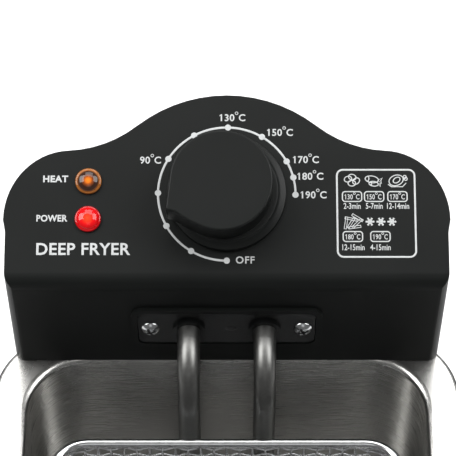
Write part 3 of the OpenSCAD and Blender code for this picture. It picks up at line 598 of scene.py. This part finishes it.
class FRYER_OT_dial(Operator):
    """Printed dial round the knob: a line from OFF to 190 degrees with a dot at every setting"""
    bl_idname = "fryer.dial"
    bl_label = "Dial line and dots"

    def execute(self, context):
        s = sizes()
        line = wires("dial", [[(x, y, 0) for x, y in arc((0, DIAL_V), s.dial, 270, -1, 3)]], s.line / 2)
        parts = [line]
        for stop in ARC_STOPS:
            x, y = arc((0, DIAL_V), s.dial, stop, stop + 1)[0]
            parts.append(primitive("cylinder", "dot", vertices=24, radius=DOT_R, depth=s.line,
                                   location=(x, y, 0)))
            parts[-1].data.transform(parts[-1].matrix_basis)
            parts[-1].matrix_basis = Matrix()
        print_on("dial_scale", parts)
        return {"FINISHED"}


def temperature(figures, x, y, cap, bold=0.018, squeeze=1.0):
    """Figures, a small ring raised beside them and a C, with their middle at x and y."""
    ring = 0.2 * cap
    pieces = [lettering(figures, 0, y, cap, "LEFT", bold, squeeze, 1.06),
              outline(moved(ellipse(ring, ring, step=30), 0, y + 0.66 * cap), 0.11 * cap),
              lettering("C", 0, y, cap, "LEFT", bold, squeeze)]
    if figures[0] == "1":
        left, high = min(v.co.x for v in pieces[0].data.vertices), y + 0.42 * cap
        flag = [(left + 0.04 * cap, high), (left - 0.16 * cap, high - 0.17 * cap)]
        flag = outline(flag, 0.12 * cap, False)
        pieces[0] = joined("figures", [pieces[0], flag])
    end = 0
    for piece in pieces:
        low = min(v.co.x for v in piece.data.vertices)
        piece.data.transform(shift(end - low, 0, 0))
        end = max(v.co.x for v in piece.data.vertices) + 0.06 * cap
    whole = joined("temperature", pieces)
    whole.data.transform(shift(x - end / 2, 0, 0))
    return whole


FIGURE = 2.75 * MM  # capital height of the dial's figures
# Text, and the middle of it across and up from the knob's axis.
DIAL_FIGURES = (("90", -30.1, 13.7), ("130", 2.3, 31.2), ("150", 21.2, 25.1), ("170", 31.4, 13.9),
                ("180", 33.1, 7.1), ("190", 34.3, -0.5))


class FRYER_OT_figures(Operator):
    """Printed temperatures and OFF beside the dial"""
    bl_idname = "fryer.figures"
    bl_label = "Dial figures"

    def execute(self, context):
        parts = [temperature(text, *on_dial(x, y), FIGURE) for text, x, y in DIAL_FIGURES]
        parts.append(lettering("OFF", *on_dial(7.2, -26.8), FIGURE, space=1.12))
        print_on("dial_figures", parts)
        return {"FINISHED"}


# Text, its end or start across and its middle up from the knob's axis, capital height, side it is set to,
# boldness, width and spacing.
WORDS = (("HEAT", -62.7, 6.0, 2.5, "RIGHT", 0.035, 1.05, 1.08),
         ("POWER", -62.85, -10.0, 2.5, "RIGHT", 0.03, 0.93, 1.06),
         ("DEEP FRYER", -75.0, -22.4, 4.6, "LEFT", 0.02, 1.0, 1.05))


class FRYER_OT_words(Operator):
    """Printed names of the two lamps, and of the appliance"""
    bl_idname = "fryer.words"
    bl_label = "Panel words"

    def execute(self, context):
        parts = [lettering(text, *on_dial(x, y), cap * MM, *looks) for text, x, y, cap, *looks in WORDS]
        print_on("panel_words", parts)
        return {"FINISHED"}


CHART = (43.5, -25.6, 74.2, 9.7)  # left, low, right and high edge of the chart, mm from the axis
# Each box: its middle across and up, the text in it, how far under it the time stands, and the time.
CHART_BOXES = ((49.4, -1.2, "130", 3.8, "2-3min"), (58.1, -1.2, "150", 3.8, "5-7min"),
               (67.3, -1.2, "170", 3.8, "12-14min"), (49.5, -17.4, "180", 4.3, "12-15min"),
               (60.3, -17.4, "190", 4.3, "4-15min"))


class FRYER_OT_chart(Operator):
    """Printed cooking chart: a rounded frame with temperatures in boxes and times under them"""
    bl_idname = "fryer.chart"
    bl_label = "Cooking chart"

    def execute(self, context):
        left, low, right, high = CHART
        edge = round_rect(right - left, high - low, 2.4)
        parts = [outline(moved(edge, *on_dial((left + right) / 2, (low + high) / 2), 0, MM), 0.7 * MM)]
        for x, y, inside, drop, under in CHART_BOXES:
            parts.append(outline(moved(round_rect(7.6, 4.0, 1.1), *on_dial(x, y), 0, MM), 0.45 * MM))
            parts.append(temperature(inside, *on_dial(x, y - 0.1), 2.0 * MM, 0.012, 0.74))
            parts.append(lettering(under, *on_dial(x, y - drop), 2.3 * MM, bold=0.012, squeeze=0.73))
        print_on("cooking_chart", parts)
        return {"FINISHED"}


# The pictures: closed and open lines of each, in millimetres about its middle.

def drumstick():
    """A roast bird: a plump body, a leg with its two knuckles, and a dish under it."""
    body, thigh = moved(ellipse(2.9, 2.1), -0.7, 0, 20), moved(ellipse(1.5, 1.0), -0.5, 0.1, 35)
    knuckles = [moved(ellipse(0.6, 0.6), x, y) for x, y in ((2.7, 1.4), (3.1, 0.6))]
    return [body, thigh, *knuckles], [[(-3.9, -1.6), (-2.6, -2.6), (1.8, -2.6), (3.2, -1.1)]]


def fish():
    """A fish: an oval body with a forked tail and a gill."""
    tail = [(2.1, 0), (3.5, 1.0), (3.1, 0), (3.5, -1.0)]
    return [ellipse(2.3, 1.2), tail], [arc((-2.2, 0), 1.2, -45, 45, 15)]


def snowflake():
    """Six arms with a pair of barbs each, and a ring round the middle."""
    arms = [moved(line, 0, 0, turn) for turn in range(0, 360, 60)
            for line in ([(0, 0), (1.75, 0)], [(1.6, 0.35), (1.15, 0), (1.6, -0.35)])]
    return [ellipse(0.85, 0.85)], arms


def chips():
    """A heap of chips: long thin boxes that lie across each other."""
    stick = [(-2.4, -0.42), (2.4, -0.42), (2.4, 0.42), (-2.4, 0.42)]
    spots = ((1.5, 1.5, -32), (-1.0, 1.0, -12), (-3.0, -0.6, 82), (-1.0, -0.6, 58), (1.3, -0.8, 44),
             (0.4, -2.3, 8))
    return [moved(stick, *spot) for spot in spots], []


def nuggets():
    """A cluster of four nuggets."""
    spots = ((-1.5, 0.7, 20), (0.2, 1.5, -15), (1.7, -0.1, 40), (0.0, -1.0, 0))
    return [moved(ellipse(1.5, 1.15), *spot) for spot in spots], []


# Each picture: its middle on the chart, degrees it is turned, and its size.
PICTURES = ((nuggets, 49.4, 5.2, 0, 1), (fish, 57.3, 5.8, -8, 1.15), (fish, 58.0, 4.0, -8, 0.8),
            (drumstick, 67.6, 5.4, 0, 1), (chips, 49.9, -11.3, 0, 1), (snowflake, 56.3, -11.4, 0, 1),
            (snowflake, 60.6, -11.4, 0, 1), (snowflake, 64.9, -11.4, 0, 1))


class FRYER_OT_icons(Operator):
    """Printed pictures of the foods in the cooking chart"""
    bl_idname = "fryer.icons"
    bl_label = "Chart pictures"

    def execute(self, context):
        parts = [outline(moved(points, *on_dial(x, y), turn, size * MM), 0.4 * MM, loop)
                 for draw, x, y, turn, size in PICTURES
                 for shapes, loop in zip(draw(), (True, False)) for points in shapes]
        print_on("chart_pictures", parts)
        return {"FINISHED"}


# ---------- knob and lamps ----------

LAMP_X = -54.6 * MM  # both lamps, across from the dial
KNOB_PLACE = PANEL @ shift(0, DIAL_V, 0)
POINTER = Matrix.Rotation(radians(210), 4, "Z")
KNOB_LIFT = 0.6  # mm between the panel and the knob
GRIP_OFF = Vector((1.5, -1.6)) * MM
NOSE = Vector((26.0, -2.6)) * MM


class FRYER_OT_knob(Operator):
    """Thermostat knob: a stepped skirt, and a round grip drawn out to a pointed nose"""
    bl_idname = "fryer.knob"
    bl_label = "Thermostat knob"

    def execute(self, context):
        s = sizes()
        r = s.skirt / MM
        profile = [(r - 3, 1.0), (r - 1, KNOB_LIFT), (r - 0.3, KNOB_LIFT), (r, 0.9), (r, 2.2),
                   (r - 0.25, 2.8), (r - 0.9, 3.1), (r - 2.2, 3.6), (r - 3.0, 4.2), (r - 3.3, 4.8),
                   (r - 4.2, 5.0)]
        skirt = lathe("knob_skirt", profile, KNOB_PLACE, 96)
        reach = NOSE - GRIP_OFF
        lead = degrees(atan2(reach.y, reach.x) - acos(s.grip / reach.length))
        hollow = ((-0.1, 0.5), (-0.6, 1.1), (-2.7, 3.1), (-4.2, 6.2), (-5.7, 9.0))
        round_part = arc(GRIP_OFF, s.grip, 30, 360 + lead, 4)
        points = [NOSE + Vector(p) * MM for p in ((-0.5, -0.3), *hollow)] + round_part
        grip = stack("knob_grip", settle([at(points, h, KNOB_PLACE @ POINTER)
                                          for h in (3.4 * MM, s.knob_height)]))
        soften(grip, 0.8 * MM, 4, 50)
        done(joined("thermostat_knob", [skirt, grip]), "abs_knob_moulded", "temperature_knob",
             "knob", slot="knob_black")
        return {"FINISHED"}


class FRYER_OT_lamps(Operator):
    """Pilot lamps: an amber and a red domed lens, each with its collar and the neon bulb showing in it"""
    bl_idname = "fryer.lamps"
    bl_label = "Pilot lamps"

    def execute(self, context):
        s = sizes()
        r = s.lamp / 2 / MM
        heat_stops = [(0.0, "#f7a24a"), (0.16, "#f08a2c"), (0.3, "#d8701e"), (0.4, "#7a3a14"),
                      (0.52, "#2a1810"), (0.68, "#34211a"), (0.8, "#a8662e"), (1.0, "#5a3216")]
        power_stops = [(0.0, "#ffd27a"), (0.16, "#f0903c"), (0.3, "#dc3a1e"), (0.5, "#cc0c12"),
                       (0.8, "#b2080e"), (0.93, "#6a0508"), (1.0, "#3a0305")]
        # The amber collar's faint emission is a painted glow that brightens it; the collar itself is no
        # lamp.
        amber = "acrylic_collar_amber_painted_glow"
        FINISHES[amber] = lens(amber, Vector((LAMP_X, 0, 0)), [(0.0, "#6a3c18"), (1.0, "#8a5220")], 0.1)
        for name, stops, rise, strength, slot in (("heat", heat_stops, 4.9, 0.25, "amber_lens"),
                                                  ("power", power_stops, -10.4, 0.22, "red_lens")):
            place = PANEL @ shift(LAMP_X, DIAL_V + rise * MM, 0)
            glow = f"acrylic_lens_{name}"
            FINISHES[glow] = lens(glow, place @ Vector((0, -0.2 * MM, 1.4 * MM)), stops, strength)
            dome = [(r - 0.9, 0.6), (r - 0.6, 1.2), (r - 1.0, 1.9), (r - 1.9, 2.5), (r - 3.0, 2.9),
                    (r - 4.2, 3.1)]
            done(lathe(f"{name}_lens", dome, place, 48), glow, "head", f"{name}_lamp_lens", slot=slot,
                 angle=60)
            rim = [(r - 1.4, 0.05), (r - 0.2, 0.05), (r, 0.3), (r, 0.9), (r - 0.3, 1.35), (r - 0.8, 1.35),
                   (r - 1.0, 1.0)]
            collar = glow if name == "power" else amber
            done(lathe(f"{name}_lens_rim", rim, place, 48), collar, "head", slot=slot, angle=60)
        return {"FINISHED"}


# ---------- element and its plate ----------

PLATE_OUT = 1.2 * MM  # of the plate's face in front of the wall
SCREW_TURN = -25  # degrees the cross slots stand turned


class FRYER_OT_plate(Operator):
    """Gloss plate that holds the element, with its pressed dimple"""
    bl_idname = "fryer.plate"
    bl_label = "Element plate"

    def execute(self, context):
        plate = from_frame("element_plate", "element_plate_enamelled", 0.35 * MM)
        dimple = primitive("uv_sphere", "dimple", segments=24, ring_count=12, radius=1)
        dimple.data.transform(WALL @ shift(1.7 * MM, 0, PLATE_OUT)
                              @ Matrix.Diagonal((2.4 * MM, 1.5 * MM, 0.35 * MM, 1)))
        done(joined("element_plate_enamelled", [plate, dimple]), "enamel_gloss_black", "head",
             "element_plate", slot="black_enamel")
        return {"FINISHED"}


class FRYER_OT_screws(Operator):
    """Plated pan-head screws of the element's plate, with softened cross slots, and dark bars in the slots
    as painted shade
    """
    bl_idname = "fryer.screws"
    bl_label = "Plate screws"

    def execute(self, context):
        done(from_frame("plate_screws", "plate_screws_plated", 0.18 * MM, 3), "screw_nickel_plated",
             "head", "plate_screws", slot="screw_steel")
        low, high = box("plate_screws")
        reach = (high.z - low.z) / 2
        # Dark bars sunk in the cross slots: painted shade where the recesses fall into shadow, in the black
        # enamel finish.
        shade_bars = []
        for side in (-1, 1):
            for turn in (SCREW_TURN, SCREW_TURN + 90):
                bar = primitive("cube", "slot", size=1)
                bar.data.transform(shift(side * (high.x - reach), low.y + 0.75 * MM, PLATE_Z)
                                   @ Matrix.Rotation(radians(turn), 4, "Y")
                                   @ Matrix.Diagonal((1.1 * reach, 0.8 * MM, 0.85 * MM, 1)))
                shade_bars.append(bar)
        done(joined("screw_slots_painted_shade", shade_bars), "enamel_gloss_black", "head")
        return {"FINISHED"}


# ---------- casing, tank and feet ----------

def sheet_shell(name, width, depth, radius, profile):
    """A rounded rectangular shell: profile holds (inset, height) pairs round its closed section."""
    rings = [at(round_rect(width - 2 * i, depth - 2 * i, radius - i), z, shift(0, CASE_Y, 0))
             for i, z in profile]
    return stack(name, settle(rings), caps=False)


class FRYER_OT_casing(Operator):
    """Brushed steel outer casing, with its top and bottom edges hemmed"""
    bl_idname = "fryer.casing"
    bl_label = "Outer casing"

    def execute(self, context):
        low, high, t = CASE_LOW.z / MM, CASE_HIGH.z / MM, SHEET_T / MM
        hem, step = 4.5, 0.35
        profile = [(t, low + 20), (t, low + 0.5), (0.7, low), (0.3, low), (0, low + 0.4),
                   (0, low + hem - step), (step, low + hem), (step, high - hem), (0, high - hem + step),
                   (0, high - 0.4), (0.3, high), (0.7, high), (t, high - 0.5), (t, low + 20)]
        profile = [(inset * MM, height * MM) for inset, height in profile]
        width, depth = CASE_HIGH.x - CASE_LOW.x, CASE_HIGH.y - CASE_LOW.y
        done(sheet_shell("casing_sheet", width, depth, CASE_R, profile), "steel_sheet_brushed",
             "casing", "outer_casing", slot="stainless_brushed")
        return {"FINISHED"}


LEVELS = (38 * MM, 62 * MM)  # of the oil's marks, below the tank's top


class FRYER_OT_tank(Operator):
    """Deep-drawn oil tank: rolled flange, radiused well and two pressed level marks"""
    bl_idname = "fryer.tank"
    bl_label = "Oil tank"

    def execute(self, context):
        s = sizes()
        wide, deep = TANK_HIGH.x - TANK_LOW.x, TANK_HIGH.y - TANK_LOW.y
        top, low, t = TANK_HIGH.z, TANK_LOW.z, SHEET_T
        well, lip, floor = WELL, 2 * SHEET_T, s.tank_radius
        inner = [(0, top - 0.6 * MM, 29), (0.25 * MM, top - 0.15 * MM, 29), (0.7 * MM, top, 28.6)]
        inner += [(well - lip + lip * sin(a), top - lip + lip * cos(a), 24)
                  for a in (0, 0.4, 0.8, 1.2, pi / 2)]
        inner += [(well + t + i, low + t + floor - rise, 24) for i, rise in fillet(floor)]
        outer = [(well + i, low + floor + t - rise, 24) for i, rise in fillet(floor + t)]
        outer = outer[::-1] + [(well - 0.2 * MM, top - lip - t, 24.5), (well - lip, top - t, 26),
                               (0.5 * MM, top - t, 28.8), (0, top - t + 0.3 * MM, 29)]
        rings = [at(round_rect(wide - 2 * i, deep - 2 * i, max(r * MM - max(0, i - well), 4 * MM)), z,
                    shift(0, CASE_Y, 0)) for i, z, r in outer + inner]
        tank = stack("tank_drawn", settle(rings))
        marks = []
        side = wide / 2 - well - t
        for depth in LEVELS:
            rib = [(-side + 0.1 * MM, CASE_Y + y, top - depth) for y in (-14 * MM, 14 * MM)]
            marks.append(wires("level_mark", [rib], 0.9 * MM))
        done(joined("tank_drawn", [tank, *marks]), "steel_tank_drawn", "tank", "oil_tank",
             slot="stainless_brushed", angle=40)
        return {"FINISHED"}


class FRYER_OT_feet(Operator):
    """Four rubber feet with a rounded tread and a recess for the screw"""
    bl_idname = "fryer.feet"
    bl_label = "Rubber feet"

    def execute(self, context):
        low, high = box("rubber_feet")
        r, h = FOOT_R / MM, high.z / MM
        profile = [(r, h), (r, h - 0.6), (r - 0.7, 1.0), (r - 1.2, 0.25), (r - 2.0, 0), (5.2, 0), (4.6, 0.5),
                   (4.4, 2.9)]
        first = lathe("foot", profile, shift(low.x + FOOT_R, low.y + FOOT_R, 0), 40)
        span = (high.x - low.x - 2 * FOOT_R, high.y - low.y - 2 * FOOT_R)
        others = [copied(first, shift(x, y, 0))
                  for x, y in ((span[0], 0), (0, span[1]), span)]
        done(joined("feet_rubber", [first, *others]), "rubber_moulded", "casing", "rubber_feet",
             slot="black_rubber")
        return {"FINISHED"}


# ---------- basket ----------

BASKET_R = 16 * MM  # corner radius of the rim wire's outside
FLOOR_R = 7 * MM  # radius between the mesh's walls and its floor


def inside(x, y, wide, deep, radius):
    """How far a point lies inside a rounded rectangle."""
    qx, qy = abs(x) - (wide / 2 - radius), abs(y) - (deep / 2 - radius)
    return radius - hypot(max(qx, 0), max(qy, 0)) - min(max(qx, qy), 0)


def reach_at(x, wide, deep, radius):
    """Half depth of a rounded rectangle at this x."""
    over = max(0, abs(x) - (wide / 2 - radius))
    return deep / 2 - radius + sqrt(max(0, radius ** 2 - over ** 2))


def mesh_wire(x, wide, deep, bottom, top, pitch, weave, phase):
    """One wire down a wall, across the floor and up again, in the plane at x, as (along, height) points."""
    radius = BASKET_R
    end = reach_at(x, wide, deep, radius)
    steps = int((top - bottom - FLOOR_R) * 2 / pitch)
    wall = [bottom + FLOOR_R + pitch / 2 * i for i in range(steps, -1, -1)]
    path = [(end + weave * cos(pi * (z - bottom) / pitch) * phase, z) for z in wall]
    count = int(end * 2 / pitch) * 2
    for i in range(count + 1):
        along = end * (1 - i / count)
        turn = min(1.0, (end - along) / FLOOR_R)
        depth_in = inside(x, along, wide, deep, radius)
        dip = FLOOR_R - sqrt(max(0, FLOOR_R ** 2 - max(0, FLOOR_R - depth_in) ** 2))
        wave = weave * cos(pi * along / pitch) * phase * turn
        path.append((along, bottom + dip - wave))
    return path + [(-a, z) for a, z in path[-2::-1]]


class FRYER_OT_mesh(Operator):
    """Woven wire basket: wires over and under each other along, across and round it"""
    bl_idname = "fryer.mesh"
    bl_label = "Basket mesh"

    def execute(self, context):
        s = sizes()
        thick, pitch = s.mesh_wire, s.mesh_pitch
        centre = (MESH_LOW + MESH_HIGH) / 2
        wide, deep = (MESH_HIGH - MESH_LOW).x - 2 * thick, (MESH_HIGH - MESH_LOW).y - 2 * thick
        bottom, top = box("basket_floor")[0].z + thick, RIM_LOW.z + thick
        weave = thick / 2
        paths, rings = [], []
        for axis, (across, along) in enumerate(((wide, deep), (deep, wide))):
            half = int((across / 2 - 3 * MM) / pitch)
            for i in range(-half, half + 1):
                phase = 1 if (i + axis) % 2 else -1
                points = mesh_wire(i * pitch, across, along, bottom, top, pitch, weave, phase)
                paths.append([(centre.x + (i * pitch if axis == 0 else a),
                               centre.y + (a if axis == 0 else i * pitch), z) for a, z in points])
        for k in range(2, int((top - bottom) / pitch) + 1):
            turn = 1 if k % 2 else -1
            ring = []
            for x, y in ring_points(wide, deep, BASKET_R, pitch / 2):
                side = abs(y) > abs(x) * deep / wide
                wave = weave * cos(pi * (x if side else y) / pitch) * turn * (1 if side else -1)
                grow = 1 + wave * 2 / (deep if side else wide)
                ring.append((centre.x + x * grow, centre.y + y * grow, bottom + k * pitch))
            rings.append(ring)
        cloth = wires("wires", paths, thick / 2, sides=6)
        hoops = wires("hoops", rings, thick / 2, loop=True, sides=6)
        done(joined("basket_woven_wire", [cloth, hoops]), "steel_wire_chromed", "basket",
             "basket_mesh", "basket_floor", slot="stainless_wire", angle=70)
        return {"FINISHED"}


def ring_points(wide, deep, radius, step):
    """Points of a rounded rectangle, evenly spaced along its straight sides and round its corners."""
    points = []
    for corner in range(4):
        turn = Matrix.Rotation(radians(90 * corner), 2)
        w, d = (wide, deep) if corner % 2 == 0 else (deep, wide)
        count = max(2, round((w - 2 * radius) / step))
        line = [(w / 2 - radius - (w - 2 * radius) * i / count, d / 2) for i in range(count)]
        bow = arc((-w / 2 + radius, d / 2 - radius), radius, 90, 180, 12)[:-1]
        points += [tuple(turn @ Vector(p)) for p in line + bow]
    return points


class FRYER_OT_basket_frame(Operator):
    """Rim wire of the basket, and the bracket that the handle turns in"""
    bl_idname = "fryer.basket_frame"
    bl_label = "Basket rim, bracket and handle wires"

    def execute(self, context):
        wire = (RIM_HIGH.z - RIM_LOW.z) / 2
        centre = (RIM_LOW + RIM_HIGH) / 2
        wide, deep = (RIM_HIGH - RIM_LOW).x - 2 * wire, (RIM_HIGH - RIM_LOW).y - 2 * wire
        hoop = [(centre.x + x, centre.y + y, centre.z) for x, y in round_rect(wide, deep, BASKET_R - wire)]
        done(wires("basket_rim", [hoop], wire, loop=True, sides=16), "steel_wire_chromed", "basket",
             "basket_rim_wire", slot="stainless_wire", angle=60)
        done(from_frame("basket_bracket", "handle_bracket", 0.3 * MM, 2), "steel_strip_plated",
             "basket", "basket_bracket", slot="stainless_wire")
        return {"FINISHED"}


class FRYER_OT_grip(Operator):
    """Handle grip: a moulded bar with a swelling back, rounded ends and finger hollows under it"""
    bl_idname = "fryer.grip"
    bl_label = "Basket handle grip"

    def execute(self, context):
        wide, high = (GRIP_HIGH - GRIP_LOW).x, (GRIP_HIGH - GRIP_LOW).z
        middle = (GRIP_LOW.z + GRIP_HIGH.z) / 2
        turn = Matrix.Rotation(radians(90), 4, "X")
        reach = GRIP_HIGH.y - GRIP_LOW.y
        rings = []
        for i in range(33):
            part = i / 32
            near = min(part, 1 - part) * reach
            shrink = 5 * MM - sqrt(max(0, (5 * MM) ** 2 - max(0, 5 * MM - near) ** 2))
            waist = 1.1 * MM * (0.5 + 0.5 * cos(4 * pi * part)) * (1 if near > 3 * MM else 0.6)
            w, h = wide - 2 * (shrink + waist), high - 2 * shrink - 0.6 * waist
            place = shift(0, GRIP_LOW.y + part * reach, middle) @ turn
            rings.append(at(round_rect(w, h, min(7 * MM, h / 2 - 0.5 * MM), 15), 0, place))
        done(stack("grip_moulded", settle(rings)), "phenolic_moulded_black", "basket_handle",
             "handle_grip", slot="black_abs", angle=50)
        return {"FINISHED"}


# ---------- gland and reset button ----------

class FRYER_OT_gland(Operator):
    """Cord gland: a flanged collar, turned down towards the cord's bore"""
    bl_idname = "fryer.gland"
    bl_label = "Cord gland"

    def execute(self, context):
        done(from_frame("cord_gland", "gland_moulded", 0.6 * MM, 3), "phenolic_moulded_black", "head",
             "cord_gland", slot="black_abs")
        done(from_frame("reset_button", "reset_cap", 0.5 * MM, 3), "nylon_red_button", "reset",
             "reset_button", slot="red_cap")
        return {"FINISHED"}


# ---------- finishes of the frame parts that stay as they are ----------

KEPT = {
    "steel_tube_drawn": ("heating_element",),
    "enamel_gloss_black": ("element_collars",),
    "screw_nickel_plated": ("base_screws", "handle_screws", "housing_screws",
                            "bracket_screws", "grip_screw"),
    "steel_strip_plated": ("element_guard", "head_guide", "guide_rivets", "bracket_rivets",
                           "thermostat_bracket", "bulb_clip", "knob_clip", "thermostat_shaft"),
    "steel_wire_chromed": ("handle_wires",),
    "brass_turned": ("element_terminals",),
    "copper_drawn": ("thermostat_bulb", "capillary_tube"),
    "phenolic_brown": ("thermostat_body", "terminal_block"),
    "phenolic_moulded_black": ("thermal_cutout", "safety_switch", "gland_nut", "interlock_pin"),
    "silicone_sleeve": ("internal_wiring", "lamp_bodies"),
}


class FRYER_OT_kept(Operator):
    """Finishes of the screws, rivets, element and inner parts, which keep the frame's own shape"""
    bl_idname = "fryer.kept"
    bl_label = "Finishes of the frame's parts"

    def execute(self, context):
        for kind, nodes in KEPT.items():
            for name in nodes:
                materials = NODES[name].data.materials
                materials.clear()
                materials.append(painted(kind))
        return {"FINISHED"}


# ---------- floor, lights and camera ----------

FLOOR_SIZE, FLOOR_WHITE = 6, (0.9, 0.9, 0.9, 1)
SKY = 0.18  # strength of the even white light from all round
AIM = (0.5 * MM, 27.3 * MM)  # what the camera looks at: across, and behind the front wall
LENS_LENGTH, SENSOR = 158.7, 36  # of the camera, mm
VIEW_AWAY, VIEW_DOWN = 0.8, radians(54.5)
# Name, place from the target, size and power.
LIGHTS = (("left_softbox", (-1.2, 0.15, 1.35), 1.2, 34), ("right_softbox", (1.2, 0.15, 1.35), 1.2, 30),
          ("top_softbox", (0, 0.9, 1.8), 1.4, 26), ("front_softbox", (0, -1.5, 1.6), 1.0, 2))


class FRYER_OT_stage(Operator):
    """Pale floor, soft studio lights and the camera that looks down on the panel"""
    bl_idname = "fryer.stage"
    bl_label = "Stage"

    def execute(self, context):
        scene = context.scene
        floor = primitive("plane", "floor", size=FLOOR_SIZE)
        floor.data.materials.append(finish("paper_backdrop_matt", Base_Color=FLOOR_WHITE, Roughness=0.9)[0])
        target = Vector((AIM[0], FRONT_Y + AIM[1], HEAD_Z + WALL_H))
        for name, offset, size, power in LIGHTS:
            light = bpy.data.lights.new(name, "AREA")
            light.size, light.energy = size, power
            lamp = bpy.data.objects.new(name, light)
            lamp.location = target + Vector(offset)
            lamp.rotation_euler = (-Vector(offset)).to_track_quat("-Z", "Y").to_euler()
            scene.collection.objects.link(lamp)
        world = bpy.data.worlds.new("studio")
        world.use_nodes = True
        sky = world.node_tree.nodes["Background"].inputs
        sky["Color"].default_value, sky["Strength"].default_value = (1, 1, 1, 1), SKY
        scene.world = world
        scene.view_settings.view_transform = "Standard"
        camera_data = bpy.data.cameras.new("camera")
        camera_data.lens, camera_data.sensor_width = LENS_LENGTH, SENSOR
        camera = bpy.data.objects.new("camera", camera_data)
        away = Vector((0, -cos(VIEW_DOWN), sin(VIEW_DOWN))) * VIEW_AWAY
        camera.location = target + away
        camera.rotation_euler = (-away).to_track_quat("-Z", "Y").to_euler()
        scene.collection.objects.link(camera)
        scene.camera = camera
        return {"FINISHED"}


OPERATORS = (FRYER_OT_cover, FRYER_OT_housing, FRYER_OT_trim, FRYER_OT_dial, FRYER_OT_figures,
             FRYER_OT_words, FRYER_OT_chart, FRYER_OT_icons, FRYER_OT_knob, FRYER_OT_lamps,
             FRYER_OT_plate, FRYER_OT_screws, FRYER_OT_casing, FRYER_OT_tank, FRYER_OT_feet, FRYER_OT_mesh,
             FRYER_OT_basket_frame, FRYER_OT_grip, FRYER_OT_gland, FRYER_OT_kept, FRYER_OT_stage)


class FRYER_PT_panel(Panel):
    """Sizes, colours and pieces of the fryer"""
    bl_idname = "FRYER_PT_panel"
    bl_label = "Deep fryer"
    bl_space_type = "VIEW_3D"
    bl_region_type = "UI"
    bl_category = "Fryer"

    def draw(self, context):
        for group in (context.scene.fryer_sizes, context.scene.fryer_colours):
            for key in group.__annotations__:
                self.layout.prop(group, key)
        for operator in OPERATORS:
            self.layout.operator(operator.bl_idname)


CLASSES = (FryerSizes, FryerColours, *OPERATORS, FRYER_PT_panel)


def register():
    for made in CLASSES:
        bpy.utils.register_class(made)
    bpy.types.Scene.fryer_sizes = bpy.props.PointerProperty(type=FryerSizes)
    bpy.types.Scene.fryer_colours = bpy.props.PointerProperty(type=FryerColours)


def unregister():
    del bpy.types.Scene.fryer_colours
    del bpy.types.Scene.fryer_sizes
    for made in reversed(CLASSES):
        bpy.utils.unregister_class(made)


def main():
    register()
    for operator in OPERATORS:
        getattr(bpy.ops.fryer, operator.bl_idname.split(".")[1])()
    alone()


if __name__ == "__main__":
    main()
